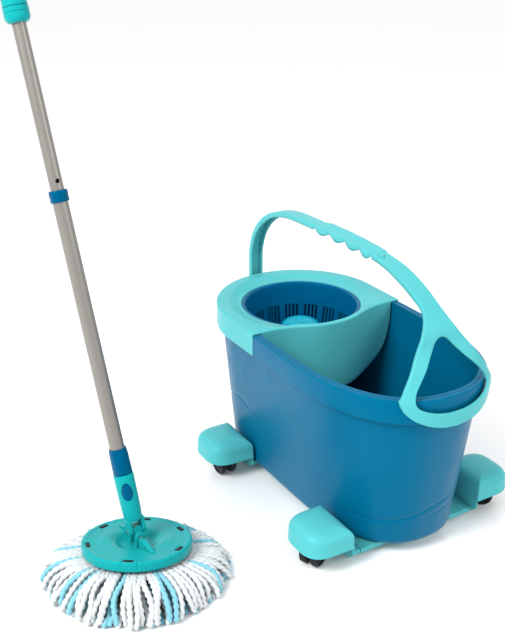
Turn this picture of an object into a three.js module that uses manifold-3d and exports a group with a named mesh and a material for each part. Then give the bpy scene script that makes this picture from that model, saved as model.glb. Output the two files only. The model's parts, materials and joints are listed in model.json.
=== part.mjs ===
// Spin mop set: a rolling bucket with a spin basket and a telescopic mop.
// Millimetres, +Z up. X runs along the bucket (pouring end at +X), Y across it.
// Every part is drawn with the basket's spin axis at X = Y = 0, and the set is
// moved by SET_SHIFT at the end so that it stands on the middle of its own box.
import * as THREE from 'three';
import { mergeVertices } from 'three/addons/utils/BufferGeometryUtils.js';
import Module from 'manifold-3d';

const wasm = await Module();
wasm.setup();

// ---------------------------------------------------------------- dimensions
const SET_SHIFT = new THREE.Vector3(-119, 170, 0);
const FAR = 900; // how far a cutting box reaches
const GAP = 0.3; // between pieces that touch
const RUN = 0.4; // between pieces that slide or turn

// bucket
const HALF_WIDTH = 140;
const NOSE_START = 167; // where the straight sides end
const NOSE_LENGTH = 217;
const NOSE_POWER = 2.4;
const BASE_Z = 18;
const RIM_Z = 275;
const FASCIA_DEPTH = 35;
const FASCIA_Z = RIM_Z - FASCIA_DEPTH;
const WALL = 3;
const WALL_INSET = 10; // wall behind the rim
const BASE_INSET_X = 36;
const BASE_INSET_Y = 30;

// wringer deck
const DECK_Z = RIM_Z + 3;
const DECK_FRONT_X = 80;
const FASCIA_X = DECK_FRONT_X + 1; // the blue rim starts here, beside the deck
const OPENING_R = 98.5;
const OPENING_Z = DECK_Z - 6;
const DISH_R = OPENING_R + 15.5;
const DECK_BULGE = OPENING_R + 9 - DECK_FRONT_X;
const DECK_BULGE_WIDTH = 66;
const APRON_DEPTH = 118;
const APRON_HALF = HALF_WIDTH - 15.5;
const APRON_T = 2.6;

// basket
const BASKET_R = OPENING_R - 1.1;
const BASKET_TOP = OPENING_Z - 1.5;
const BASKET_DEPTH = 84.5;
const BASKET_FLOOR = BASKET_TOP - BASKET_DEPTH;
const BASKET_TAPER = 12; // how much narrower its floor is than its mouth
const SLOT_GROUPS = 16;
const SLOTS_PER_GROUP = 4;
const SLOT_W = 3;
const SLOT_PITCH = 6.6;
const SLOT_HEIGHT = 36;
const SPINDLE_R = 4;
const BUSH_R = SPINDLE_R + 3;
const HUB_R = 22.6;
const HUB_TOP = BASKET_FLOOR + 44;
const BRIDGE_Z = BASKET_FLOOR - 23; // the arm under the basket that holds the spindle
const BRIDGE_T = 5;

// handle
const HINGE = new THREE.Vector3(-HALF_WIDTH - 7.5, 0, FASCIA_Z - 9);
const STRAP_HALF = 12;
const LOOP_HALF = 81;
const LOOP_STAND = 8.2; // from the rim of the nose to the loop's outer face
const HANDLE_T = 9;
const LOOP_T = 6;
const SKIN = 2.6;
const HINGE_PIN_R = 3;
const EYE_R = 7;

// trolley and casters
const CASTER_X = [2, 288];
const CASTER_Y = HALF_WIDTH + 14;
const WHEEL_R = 19;
const HOOD_Z = 2 * WHEEL_R + 1.3; // underside of the swivelling disc over the wheels
const HOOD_T = 4.1;
const HOUSING_HALF = 43;
const HOUSING_OUT = CASTER_Y + 36;
const HOUSING_IN = CASTER_Y - 38;
const HOUSING_CORNER = 34;
const HOUSING_BOTTOM = 30;
const HOUSING_TOP = HOOD_Z + 27;
const HOUSING_WALL = 2.6;
const FRAME_Z = 9;
const FRAME_T = 7.5;
const FRAME_EDGE = HOUSING_IN - 20.3;
const WHEEL_W = 10;
const TRAIL = 8;
const WEB_HALF = 4;
const STEM_R = 5;
const AXLE_R = 3;

// mop head
const PIVOT = new THREE.Vector3(172, -385, 58);
const LOOK = THREE.MathUtils.degToRad(59.67); // plan direction in which the mop leans
const PLATE_TILT = THREE.MathUtils.degToRad(11.5);
const POLE_AWAY = THREE.MathUtils.degToRad(12);
const POLE_SIDE = THREE.MathUtils.degToRad(-10.9);
const PLATE_R = 79;
const PLATE_TOP = -7; // below the lower pin, along the plate's own axis
const PLATE_T = 14;
const RECESS = 8.5; // the hollow that lets the joint sit low in the plate
const RECESS_R = 24;
const CARRIER_R = PLATE_R - 9;
const CARRIER_T = 4;
const SKIRT_R = 143;
const LUG_GAP = 15;
const LUG_T = 5;
const PIN_R = 2.5;
const UPPER_PIN_Z = 8;
const FORK_HALF = 13;
const FORK_INNER = 7.2;
const CROSS_HALF = FORK_INNER - 0.7;

// pole, measured along its own axis from the upper pin
const SOCKET_TOP = 85;
const PLUG_R = 10;
const SOCKET_R = PLUG_R + 4;
const BUTTON_Z = 61;
const BUTTON_HALF_W = 7.4;
const BUTTON_HALF_H = 12.5;
const BUTTON_TURN = 69; // degrees round the pole from -Y
const SLEEVE_TOP = SOCKET_TOP + 38;
const TUBE_R = 10.5;
const TUBE_WALL = 0.9;
const SLEEVE_R = TUBE_R + 2.5;
const COLLAR_Z = 472;
const COLLAR_LENGTH = 16;
const INNER_R = TUBE_R - TUBE_WALL - 0.5;
const HOLE_Z = 500;
const HOLE_R = 3;
const INNER_LOW = 252;
const GRIP_Z = 705;
const GRIP_LENGTH = 255;
const GRIP_R = 17;
const RING_LENGTH = 20;
const INNER_TOP = GRIP_Z + 127;
const NUT_Z = INNER_TOP - 14;
const NUT_T = 8;
const ROD_W = 8;
const ROD_T = 3;
const ROD_PITCH = 100;
const ROD_LOW = GRIP_Z - 13;
const ROD_LENGTH = 254;

// ----------------------------------------------------------------- materials
function plastic(color, roughness) {
  return new THREE.MeshStandardMaterial({ color, roughness, metalness: 0 });
}

const blue = () => plastic(0x0b7aa5, 0.35);
const turquoise = () => plastic(0x5fcfce, 0.4);
const teal = () => plastic(0x2fb0ab, 0.4);
const black = () => plastic(0x1c1d1f, 0.5);
const white = () => plastic(0xe9eef0, 0.9);
const steel = () => new THREE.MeshStandardMaterial({ color: 0xa9a39c, roughness: 0.35, metalness: 0.9 });

// ------------------------------------------------------------------- helpers
const group = new THREE.Group();
group.name = 'spin_mop';

// A closed geometry becomes a solid that can be added, cut and intersected.
function solid(geometry) {
  const g = geometry.clone();
  g.deleteAttribute('normal');
  g.deleteAttribute('uv');
  const merged = mergeVertices(g, 1e-4);
  const index = merged.index.array;
  const corners = [];
  for (let i = 0; i < index.length; i += 3) {
    const [a, b, c] = index.subarray(i, i + 3);
    if (a !== b && b !== c && c !== a) {
      corners.push(a, b, c);
    }
  }
  return new wasm.Manifold(new wasm.Mesh({
    numProp: 3,
    vertProperties: new Float32Array(merged.attributes.position.array),
    triVerts: new Uint32Array(corners),
  }));
}

function geometryOf(body) {
  const m = body.getMesh();
  const g = new THREE.BufferGeometry();
  g.setAttribute('position', new THREE.BufferAttribute(new Float32Array(m.vertProperties), 3));
  g.setIndex(new THREE.BufferAttribute(new Uint32Array(m.triVerts), 1));
  return g;
}

// Places a finished solid in the set. frame turns and moves it first, if given.
function place(name, body, material, frame) {
  const g = geometryOf(body);
  if (frame) {
    g.applyMatrix4(frame);
  }
  g.translate(SET_SHIFT.x, SET_SHIFT.y, SET_SHIFT.z);
  g.computeVertexNormals();
  const mesh = new THREE.Mesh(g, material);
  mesh.name = name;
  group.add(mesh);
}

function box(x0, x1, y0, y1, z0, z1) {
  const g = new THREE.BoxGeometry(x1 - x0, y1 - y0, z1 - z0);
  g.translate((x0 + x1) / 2, (y0 + y1) / 2, (z0 + z1) / 2);
  return solid(g);
}

// An upright cylinder at (x, y) from z0 to z1.
function post(r, x, y, z0, z1, sides = 24) {
  const g = new THREE.CylinderGeometry(r, r, z1 - z0, sides);
  g.rotateX(Math.PI / 2);
  g.translate(x, y, (z0 + z1) / 2);
  return solid(g);
}

// A cylinder along X or Y through the point (x, y, z).
function bar(r, axis, length, x, y, z, sides = 20) {
  const g = new THREE.CylinderGeometry(r, r, length, sides);
  if (axis === 'x') {
    g.rotateZ(-Math.PI / 2);
  }
  g.translate(x, y, z);
  return solid(g);
}

// A closed (radius, height) profile turned about the Z axis.
function turned(profile, sides = 28) {
  const points = profile.map(([r, z]) => new THREE.Vector2(r, z));
  if (THREE.ShapeUtils.area(points) < 0) {
    points.reverse();
  }
  if (points[0].x > 0 || points[points.length - 1].x > 0) {
    points.push(points[0].clone());
  }
  const g = new THREE.LatheGeometry(points, sides);
  g.rotateX(Math.PI / 2);
  return solid(g);
}

// A flat outline raised from z0 to z1.
function raised(points, z0, z1) {
  const shape = new THREE.Shape(points.map(([x, y]) => new THREE.Vector2(x, y)));
  const g = new THREE.ExtrudeGeometry(shape, { depth: z1 - z0, bevelEnabled: false });
  g.translate(0, 0, z0);
  return solid(g);
}

// The same with the outline's (y, z) seen along X, or its (x, z) seen along Y.
function facingX(points, x0, x1) {
  const turn = new THREE.Matrix4().makeBasis(
    new THREE.Vector3(0, 1, 0), new THREE.Vector3(0, 0, 1), new THREE.Vector3(1, 0, 0),
  );
  return solid(geometryOf(raised(points, x0, x1)).applyMatrix4(turn));
}

function facingY(points, y0, y1) {
  const g = geometryOf(raised(points, -y1, -y0));
  g.rotateX(Math.PI / 2);
  return solid(g);
}

// An outline carried through levels. move(x, y, level) gives its shape at each.
function lofted(points, levels, move) {
  const shape = new THREE.Shape(points.map(([x, y]) => new THREE.Vector2(x, y)));
  const steps = levels.length - 1;
  const g = new THREE.ExtrudeGeometry(shape, { depth: steps, steps, bevelEnabled: false });
  const p = g.attributes.position;
  for (let i = 0; i < p.count; i += 1) {
    const level = levels[Math.round(p.getZ(i))];
    const [x, y] = move(p.getX(i), p.getY(i), level);
    p.setXYZ(i, x, y, level.z);
  }
  return solid(g);
}

// A box whose three unit directions are bent by map(u, v, w) into space.
function bent(segments, map) {
  const g = new THREE.BoxGeometry(1, 1, 1, ...segments);
  const p = g.attributes.position;
  for (let i = 0; i < p.count; i += 1) {
    const [x, y, z] = map(p.getX(i) + 0.5, p.getY(i) + 0.5, p.getZ(i) + 0.5);
    p.setXYZ(i, x, y, z);
  }
  return solid(g);
}

const lerp = (a, b, t) => a + (b - a) * t;

// -------------------------------------------------------------- bucket shape
// Plan outline: half circle at the spin end, straight sides, blunt pointed nose.
function noseX(y) {
  const share = 1 - Math.pow(Math.min(1, Math.abs(y) / HALF_WIDTH), NOSE_POWER);
  return NOSE_START + NOSE_LENGTH * Math.pow(share, 1 / NOSE_POWER);
}

function nosePoints(count) {
  const points = [];
  for (let i = 0; i <= count; i += 1) {
    const a = (i / count - 0.5) * Math.PI;
    const c = Math.pow(Math.abs(Math.cos(a)), 2 / NOSE_POWER);
    const s = Math.sign(Math.sin(a)) * Math.pow(Math.abs(Math.sin(a)), 2 / NOSE_POWER);
    points.push([NOSE_START + NOSE_LENGTH * c, HALF_WIDTH * s]);
  }
  return points;
}

function roundPoints(count) {
  const points = [];
  for (let i = 0; i <= count; i += 1) {
    const a = Math.PI / 2 + (i / count) * Math.PI;
    points.push([HALF_WIDTH * Math.cos(a), HALF_WIDTH * Math.sin(a)]);
  }
  return points;
}

const plan = [...nosePoints(26), ...roundPoints(20)];

// Moves a point of the plan inward by inX along the bucket and inY across it.
function drawIn(x, y, inX, inY) {
  let nx = x;
  if (x < 0) {
    nx = x * (HALF_WIDTH - inX) / HALF_WIDTH;
  } else if (x > NOSE_START) {
    nx = NOSE_START + (x - NOSE_START) * (NOSE_LENGTH - inX) / NOSE_LENGTH;
  }
  return [nx, y * (HALF_WIDTH - inY) / HALF_WIDTH];
}

function wallInset(z) {
  const t = THREE.MathUtils.clamp((FASCIA_Z - z) / (FASCIA_Z - BASE_Z), 0, 1);
  return [lerp(WALL_INSET, BASE_INSET_X, t), lerp(WALL_INSET, BASE_INSET_Y, t)];
}

// The bucket's outside (extra = 0) or its cavity (extra = wall thickness).
function bucketBody(extra, z0, z1, foot) {
  const levels = [
    { z: z0, add: extra + foot },
    { z: z0 + foot, add: extra },
    { z: FASCIA_Z, add: extra },
    { z: z1, add: extra },
  ];
  return lofted(plan, levels, (x, y, { z, add }) => {
    const [inX, inY] = wallInset(z);
    return drawIn(x, y, inX + add, inY + add);
  });
}

function planRing(inset, z0, z1, topInset = inset) {
  const levels = [{ z: z0, add: inset }, { z: z1 - 3, add: inset }, { z: z1, add: topInset }];
  return lofted(plan, levels, (x, y, { add }) => drawIn(x, y, add, add));
}

function bucketShell() {
  const ahead = box(FASCIA_X, FAR, -FAR, FAR, 0, FAR);
  const rimTop = planRing(0, FASCIA_Z, RIM_Z, 2.5).intersect(ahead);
  const under = planRing(SKIN, FASCIA_Z - 5, RIM_Z - SKIN)
    .subtract(planRing(WALL_INSET, FASCIA_Z - 5, RIM_Z))
    .intersect(box(FASCIA_X + SKIN, FAR, -FAR, FAR, 0, FAR));
  let shell = bucketBody(0, BASE_Z, RIM_Z - GAP, 5).add(rimTop.subtract(under));
  shell = shell.subtract(bucketBody(WALL, BASE_Z + WALL, RIM_Z + 10, 8));
  for (const side of [-1, 1]) {
    const y0 = side > 0 ? STRAP_HALF + 1.5 : -STRAP_HALF - 6.5;
    const lug = box(HINGE.x, 15 - HALF_WIDTH, y0, y0 + 5, HINGE.z - EYE_R, HINGE.z + EYE_R)
      .add(bar(EYE_R, 'y', 5, HINGE.x, y0 + 2.5, HINGE.z));
    shell = shell.add(lug.subtract(bucketBody(WALL / 2, BASE_Z, RIM_Z, 5)));
  }
  return shell.subtract(bar(HINGE_PIN_R + GAP, 'y', 50, HINGE.x, 0, HINGE.z));
}

place('bucket_shell', bucketShell(), blue());

// -------------------------------------------------------------- wringer deck
// The deck's front edge bulges forward round the opening.
function deckFront(y) {
  return DECK_FRONT_X + DECK_BULGE * Math.exp(-Math.pow(Math.abs(y) / DECK_BULGE_WIDTH, 2.6));
}

function deckPlan(inset) {
  const points = roundPoints(20).map(([x, y]) => drawIn(x, y, inset, inset));
  const edge = HALF_WIDTH - inset;
  for (let i = 0; i <= 18; i += 1) {
    const y = lerp(-edge, edge, i / 18);
    points.push([deckFront(y), y]);
  }
  return points;
}

function apron() {
  const outline = [];
  for (let i = 0; i <= 18; i += 1) {
    const y = lerp(-APRON_HALF, APRON_HALF, i / 18);
    outline.push([deckFront(y), y]);
  }
  for (let i = 18; i >= 0; i -= 1) {
    const y = lerp(-APRON_HALF, APRON_HALF, i / 18);
    outline.push([deckFront(y) - APRON_T, y]);
  }
  const sheet = raised(outline, DECK_Z - APRON_DEPTH, DECK_Z - 1);
  const tongue = [];
  for (let i = 0; i <= 24; i += 1) {
    const a = Math.PI + (i / 24) * Math.PI;
    const c = Math.sign(Math.cos(a)) * Math.pow(Math.abs(Math.cos(a)), 2 / 3.2);
    const s = Math.sign(Math.sin(a)) * Math.pow(Math.abs(Math.sin(a)), 2 / 3.2);
    tongue.push([APRON_HALF * c, DECK_Z + APRON_DEPTH * s]);
  }
  return sheet.intersect(facingX(tongue, DECK_FRONT_X - 15, FAR));
}

function wringerDeck() {
  const behind = box(-FAR, DECK_FRONT_X, -FAR, FAR, FASCIA_Z - 40, FAR);
  const top = raised(deckPlan(0), DECK_Z - SKIN - 0.4, DECK_Z);
  const ring = post(DISH_R + 3, 0, 0, OPENING_Z - 8, DECK_Z - 1, 40)
    .intersect(raised(deckPlan(1), OPENING_Z - 12, DECK_Z));
  const skirt = planRing(0, FASCIA_Z, DECK_Z - 1)
    .subtract(planRing(SKIN, FASCIA_Z - 5, DECK_Z + 5))
    .intersect(box(-FAR, DECK_FRONT_X, -FAR, FAR, 0, FAR));
  const keep = behind.add(post(DISH_R + 6, 0, 0, 0, FAR));
  let deck = top.add(ring).add(skirt).add(apron()).intersect(keep);
  const dish = turned([
    [0, OPENING_Z], [OPENING_R, OPENING_Z], [DISH_R, DECK_Z], [DISH_R, DECK_Z + 10], [0, DECK_Z + 10],
  ], 40);
  deck = deck.subtract(dish).subtract(post(OPENING_R, 0, 0, OPENING_Z - 22, FAR, 40));
  const back = -OPENING_R - 13.5;
  const bridge = box(back, deckFront(0) - 1, -12, 12, BRIDGE_Z, BRIDGE_Z + BRIDGE_T)
    .add(box(back, back + 4, -12, 12, BRIDGE_Z, DECK_Z - 2))
    .add(post(SPINDLE_R + 5, 0, 0, BRIDGE_Z - 3, BRIDGE_Z + 15));
  return deck.add(bridge).subtract(post(SPINDLE_R + GAP, 0, 0, BRIDGE_Z - 10, BRIDGE_Z + 20));
}

place('wringer_deck', wringerDeck(), turquoise());

// ------------------------------------------------------------ spinner basket
function spinnerBasket() {
  const bore = BUSH_R + GAP;
  const boss = BUSH_R + 3;
  const floor = BASKET_FLOOR;
  const floorR = BASKET_R - BASKET_TAPER;
  let basket = turned([
    [BASKET_R, BASKET_TOP], [BASKET_R - 5.8, BASKET_TOP], [floorR - 2.4, floor + SKIN],
    [HUB_R + 5.4, floor + SKIN], [HUB_R, HUB_TOP], [bore, HUB_TOP], [bore, floor + 4],
    [boss, floor + 4], [boss, HUB_TOP - SKIN], [HUB_R - SKIN, HUB_TOP - SKIN],
    [HUB_R + 2.8, floor], [floorR, floor], [BASKET_R - 3, BASKET_TOP - 4],
    [BASKET_R, BASKET_TOP - 3],
  ], 32);
  const slotR = BASKET_R - 10;
  for (let g = 0; g < SLOT_GROUPS; g += 1) {
    for (let s = 0; s < SLOTS_PER_GROUP; s += 1) {
      const arc = (s - (SLOTS_PER_GROUP - 1) / 2) * SLOT_PITCH / slotR;
      const cut = new THREE.BoxGeometry(20, SLOT_W, SLOT_HEIGHT);
      cut.translate(slotR, 0, floor + 10 + SLOT_HEIGHT / 2);
      cut.rotateZ((g / SLOT_GROUPS) * 2 * Math.PI + arc);
      basket = basket.subtract(solid(cut));
    }
  }
  return basket;
}

place('spinner_basket', spinnerBasket(), blue());

const capBase = HUB_TOP + GAP;
place('basket_hub_cap', turned([
  [0, capBase], [HUB_R + 0.8, capBase], [HUB_R + 6.9, capBase - 3], [HUB_R + 8.4, HUB_TOP - 5],
  [HUB_R + 10.4, HUB_TOP - 5], [HUB_R + 10.4, HUB_TOP - 1], [HUB_R + 7.4, HUB_TOP + 5.5],
  [HUB_R - 0.6, HUB_TOP + 9.5], [11, HUB_TOP + 11], [7, HUB_TOP + 9], [0, HUB_TOP + 8],
], 28), plastic(0x1fa5c9, 0.3));

place('basket_bush', turned([
  [SPINDLE_R + RUN, BASKET_FLOOR + 5], [BUSH_R, BASKET_FLOOR + 5], [BUSH_R, HUB_TOP - 1],
  [SPINDLE_R + RUN, HUB_TOP - 1],
]), black());

place('basket_spindle', post(SPINDLE_R, 0, 0, BRIDGE_Z - 2, HUB_TOP - 4, 24), steel());

// -------------------------------------------------------------------- handle
// Side profile of the handle's outer face as (x, height above the hinge, half width):
// up from the hinge, along the top, then down to the loop round the nose.
const strapX = HINGE.x - 4.5;
const loopX = noseX(LOOP_HALF) + LOOP_STAND;
const topX = (share) => lerp(strapX + 117, loopX - 71.6, share);
const handleKeys = [
  [strapX, 0, STRAP_HALF], [strapX, 59, STRAP_HALF], [strapX + 1, 91, STRAP_HALF],
  [strapX + 13, 125, STRAP_HALF], [strapX + 38, 155, STRAP_HALF], [strapX + 74, 177, STRAP_HALF],
  [topX(0), 188, STRAP_HALF], [topX(0.225), 192, STRAP_HALF], [topX(0.459), 194, STRAP_HALF],
  [topX(0.669), 192, STRAP_HALF], [topX(0.79), 188, STRAP_HALF], [topX(0.884), 181, 13.5],
  [topX(1), 166, 14], [loopX - 39.6, 146, 16], [loopX - 20.6, 118, 32], [loopX - 12.6, 87, 55],
  [loopX - 6.6, 61, 72], [loopX, 44, LOOP_HALF - 1], [loopX + 0.5, 24, LOOP_HALF],
  [loopX + 0.5, -5, LOOP_HALF],
];
const handleCurve = new THREE.CatmullRomCurve3(
  handleKeys.map(([x, h, w]) => new THREE.Vector3(x, w, HINGE.z + h)), false, 'centripetal',
);

// Near the nose the handle bulges forward to follow the rim of the bucket.
function noseBulge(x, y, z) {
  if (x < NOSE_START) {
    return 0;
  }
  return THREE.MathUtils.smoothstep(RIM_Z + 70 - z, 0, 68) * (noseX(y) - noseX(LOOP_HALF));
}

// s runs along the handle, v across it (-1 to 1), t is the depth below its face.
function handlePoint(s, v, t, narrower) {
  const p = handleCurve.getPoint(s);
  const d = handleCurve.getTangent(s);
  const n = new THREE.Vector2(d.z, -d.x).normalize();
  const y = v * (p.y - narrower);
  return [p.x + n.x * t + noseBulge(p.x, y, p.z), y, p.z + n.y * t];
}

// The strap's thickness falls to the loop's on the way down to the nose.
function handleThickness(s) {
  return lerp(HANDLE_T, LOOP_T, THREE.MathUtils.smoothstep(s, 0.6, 0.75));
}

function handleBand(s0, s1, cover, narrower, segments) {
  return bent(segments, (u, v, w) => {
    const s = lerp(s0, s1, u);
    const depth = cover > 0 ? handleThickness(s) + 3 : handleThickness(s);
    return handlePoint(s, lerp(-1, 1, v), lerp(depth, cover, w), narrower);
  });
}

function mirrored(half) {
  const other = half.filter(([y]) => y !== 0).map(([y, z]) => [-y, z]).reverse();
  return [...half, ...other];
}

function carryHandle() {
  let handle = handleBand(0, 1, 0, 0, [58, 6, 1]);
  handle = handle.add(bar(EYE_R, 'y', 2 * STRAP_HALF, HINGE.x, 0, HINGE.z));
  handle = handle.subtract(handleBand(0.06, 0.56, SKIN, SKIN, [30, 1, 1]));
  // outlines as (y, height over the rim): the finger hole, and what is cut off below
  const lift = ([y, h]) => [y, RIM_Z + h];
  const window = mirrored([
    [0, -19], [22, -17.5], [42, -13], [54, -7], [58, 0], [56, 10], [46, 25], [34, 40],
    [22, 56], [14, 66], [7, 71], [0, 72.5],
  ]).map(lift);
  const waste = mirrored([
    [0, -42], [25, -40], [48, -34], [66, -24], [76, -13], [80, -3], [83, 10], [100, 10],
    [100, -75], [0, -75],
  ]).map(lift);
  handle = handle.subtract(facingX(window, NOSE_START + 100, FAR));
  handle = handle.subtract(facingX(waste, NOSE_START + 100, FAR));
  return handle.subtract(bar(HINGE_PIN_R + RUN, 'y', 60, HINGE.x, 0, HINGE.z));
}

place('carry_handle', carryHandle(), turquoise());
place('handle_hinge_pin', bar(HINGE_PIN_R, 'y', 2 * STRAP_HALF + 15, HINGE.x, 0, HINGE.z), steel());

// ------------------------------------------------------------------- trolley
function trolleyFrame() {
  const z1 = FRAME_Z + FRAME_T;
  const flat = (inX, inY) => lofted(
    plan, [{ z: FRAME_Z }, { z: z1 }], (x, y) => drawIn(x, y, inX, inY),
  );
  const cut = lofted(
    plan, [{ z: FRAME_Z - 1 }, { z: z1 + 1 }], (x, y) => drawIn(x, y, 78, 72),
  );
  let frame = flat(52, 46).subtract(cut);
  const middle = (CASTER_X[0] + CASTER_X[1]) / 2;
  frame = frame.add(box(middle - 18, middle + 18, 68 - HALF_WIDTH, HALF_WIDTH - 68, FRAME_Z, z1));
  for (const x of CASTER_X) {
    frame = frame.add(box(x - 30, x + 30, -FRAME_EDGE, FRAME_EDGE, FRAME_Z, z1));
  }
  return frame;
}

place('trolley_frame', trolleyFrame(), turquoise());

function housingPlan(inset) {
  const half = HOUSING_HALF - inset;
  const out = HOUSING_OUT - inset;
  const r = HOUSING_CORNER - inset;
  const points = [[-half, HOUSING_IN + inset], [half, HOUSING_IN + inset]];
  for (const [cx, from] of [[half - r, 0], [-half + r, Math.PI / 2]]) {
    for (let i = 0; i <= 4; i += 1) {
      const a = from + (i / 4) * Math.PI / 2;
      points.push([cx + r * Math.cos(a), out - r + r * Math.sin(a)]);
    }
  }
  return points;
}

// The cover is drawn for the +Y side and mirrored for the other.
function casterArm() {
  const middle = (HOUSING_IN + HOUSING_OUT) / 2;
  const shrink = (x, y, { add }) => [
    x * (1 - add / HOUSING_HALF),
    y > HOUSING_IN + 1 ? lerp(y, middle, add / (HOUSING_OUT - middle)) : y,
  ];
  const levels = [
    { z: HOUSING_BOTTOM, add: 0 }, { z: HOUSING_TOP - 12, add: 0 },
    { z: HOUSING_TOP - 4, add: 2.5 }, { z: HOUSING_TOP, add: 8 },
  ];
  const hollow = [
    { z: HOUSING_BOTTOM - 1, add: 0 }, { z: HOUSING_TOP - 13, add: 0 },
    { z: HOUSING_TOP - 6, add: 3 },
  ];
  let arm = lofted(housingPlan(0), levels, shrink);
  arm = arm.subtract(lofted(housingPlan(HOUSING_WALL), hollow, shrink));
  const seat = HOOD_Z + HOOD_T + RUN;
  arm = arm.add(post(STEM_R + 4, 0, CASTER_Y, seat, HOUSING_TOP - 2));
  arm = arm.subtract(post(STEM_R + RUN, 0, CASTER_Y, seat - 4, HOUSING_TOP - 5.5));
  const foot = box(-30, 30, FRAME_EDGE + GAP, HOUSING_IN + HOUSING_WALL, FRAME_Z, BASE_Z - 1.5);
  const web = box(-30, 30, HOUSING_IN, HOUSING_IN + HOUSING_WALL, FRAME_Z, HOUSING_BOTTOM + 2);
  return arm.add(foot).add(web);
}

// swivel (hood and stem) and wheels, with the axle TRAIL behind the swivel axis
function casterParts() {
  const hood = post(15, 0, 0, HOOD_Z, HOOD_Z + HOOD_T)
    .add(post(STEM_R, 0, 0, HOOD_Z + 3, HOOD_Z + 16.7))
    .add(box(-9, TRAIL + 8, -WEB_HALF, WEB_HALF, WHEEL_R - 7, HOOD_Z + 2))
    .subtract(bar(AXLE_R + RUN, 'y', 40, TRAIL, 0, WHEEL_R));
  const wheel = (side) => {
    const y0 = WEB_HALF + RUN + 0.1;
    const profile = [
      [AXLE_R + GAP, y0], [WHEEL_R - 1.5, y0], [WHEEL_R, y0 + 1.5], [WHEEL_R, y0 + WHEEL_W - 2],
      [WHEEL_R - 2, y0 + WHEEL_W], [8, y0 + WHEEL_W], [AXLE_R + GAP, y0 + WHEEL_W - 1.5],
    ];
    const g = geometryOf(turned(profile, 24));
    g.rotateX(side > 0 ? -Math.PI / 2 : Math.PI / 2);
    g.translate(TRAIL, 0, WHEEL_R);
    return solid(g);
  };
  const axle = bar(AXLE_R, 'y', 2 * (WEB_HALF + WHEEL_W - 2), TRAIL, 0, WHEEL_R, 20);
  return { hood, a: wheel(1), b: wheel(-1), axle };
}

const corners = [
  ['rear_near', CASTER_X[0], -1, 0], ['rear_far', CASTER_X[0], 1, 160],
  ['front_near', CASTER_X[1], -1, -65], ['front_far', CASTER_X[1], 1, 40],
];
for (const [where, x, side, turn] of corners) {
  const armFrame = new THREE.Matrix4().makeRotationZ(side > 0 ? 0 : Math.PI).setPosition(x, 0, 0);
  place(`caster_arm_${where}`, casterArm(), turquoise(), armFrame);
  const swivel = new THREE.Matrix4()
    .makeRotationZ(THREE.MathUtils.degToRad(turn))
    .setPosition(x, side * CASTER_Y, 0);
  const parts = casterParts();
  place(`caster_hood_${where}`, parts.hood, black(), swivel);
  place(`caster_wheel_a_${where}`, parts.a, black(), swivel);
  place(`caster_wheel_b_${where}`, parts.b, black(), swivel);
  place(`caster_axle_${where}`, parts.axle, steel(), swivel);
}

// ---------------------------------------------------------------- mop frames
const right = new THREE.Vector3(Math.cos(LOOK), Math.sin(LOOK), 0);
const away = new THREE.Vector3(-Math.sin(LOOK), Math.cos(LOOK), 0);
const up = new THREE.Vector3(0, 0, 1);

// The plate leans away; its x axis stays in the plane of the bucket's length.
const plateUp = up.clone().multiplyScalar(Math.cos(PLATE_TILT))
  .addScaledVector(away, Math.sin(PLATE_TILT));
const plateX = new THREE.Vector3(1, 0, 0);
plateX.addScaledVector(plateUp, -plateX.dot(plateUp)).normalize();
const plateY = plateUp.clone().cross(plateX);

const poleUp = right.clone().multiplyScalar(Math.sin(POLE_SIDE))
  .addScaledVector(away, Math.sin(POLE_AWAY) * Math.cos(POLE_SIDE))
  .addScaledVector(up, Math.cos(POLE_AWAY) * Math.cos(POLE_SIDE));
// The lower pin lies along plateX, the upper pin square to it and to the pole.
const crossY = poleUp.clone().cross(plateX).normalize();
const crossUp = plateX.clone().cross(crossY);
const poleX = crossY.clone().cross(poleUp);

function frameOf(x, y, z, origin) {
  return new THREE.Matrix4().makeBasis(x, y, z).setPosition(origin);
}

const plateFrame = frameOf(plateX, plateY, plateUp, PIVOT);
const crossFrame = frameOf(plateX, crossY, crossUp, PIVOT);
const poleOrigin = PIVOT.clone().addScaledVector(crossUp, UPPER_PIN_Z);
const poleFrame = frameOf(poleX, crossY, poleUp, poleOrigin);

// ------------------------------------------------------------------ mop head
function discPlate() {
  const top = PLATE_TOP;
  const low = top - PLATE_T;
  let plate = turned([
    [0, low + 3], [CARRIER_R + 3, low + 3], [CARRIER_R + 3, low], [PLATE_R, low],
    [PLATE_R, top - 2], [PLATE_R - 2, top], [RECESS_R + 7, top], [RECESS_R, top - RECESS],
    [0, top - RECESS],
  ], 40);
  const floor = top - RECESS - 1;
  for (const side of [-1, 1]) {
    const x0 = side * LUG_GAP / 2;
    const x1 = side * (LUG_GAP / 2 + LUG_T);
    const lug = box(Math.min(x0, x1), Math.max(x0, x1), -7, 7, floor, 0)
      .add(bar(7, 'x', LUG_T, (x0 + x1) / 2, 0, 0));
    const far = side * (PLATE_R - 24);
    const rib = facingY([
      [x1 * 0.98, floor], [x1 * 0.98, -1.5], [lerp(x1, far, 0.3), top + 8],
      [lerp(x1, far, 0.65), top + 5], [far, top + 0.5], [far, top - 1],
      [side * (RECESS_R + 9), top - 1], [side * (RECESS_R + 1), floor],
    ], -4, 4);
    plate = plate.add(lug).add(rib);
  }
  return plate.subtract(bar(PIN_R + GAP, 'x', 60, 0, 0, 0));
}

place('mop_plate', discPlate(), teal(), plateFrame);
place('yarn_carrier', turned([
  [0, PLATE_TOP - PLATE_T - CARRIER_T], [CARRIER_R, PLATE_TOP - PLATE_T - CARRIER_T],
  [CARRIER_R, PLATE_TOP - PLATE_T + 3 - GAP], [0, PLATE_TOP - PLATE_T + 3 - GAP],
], 40), blue(), plateFrame);

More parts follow.
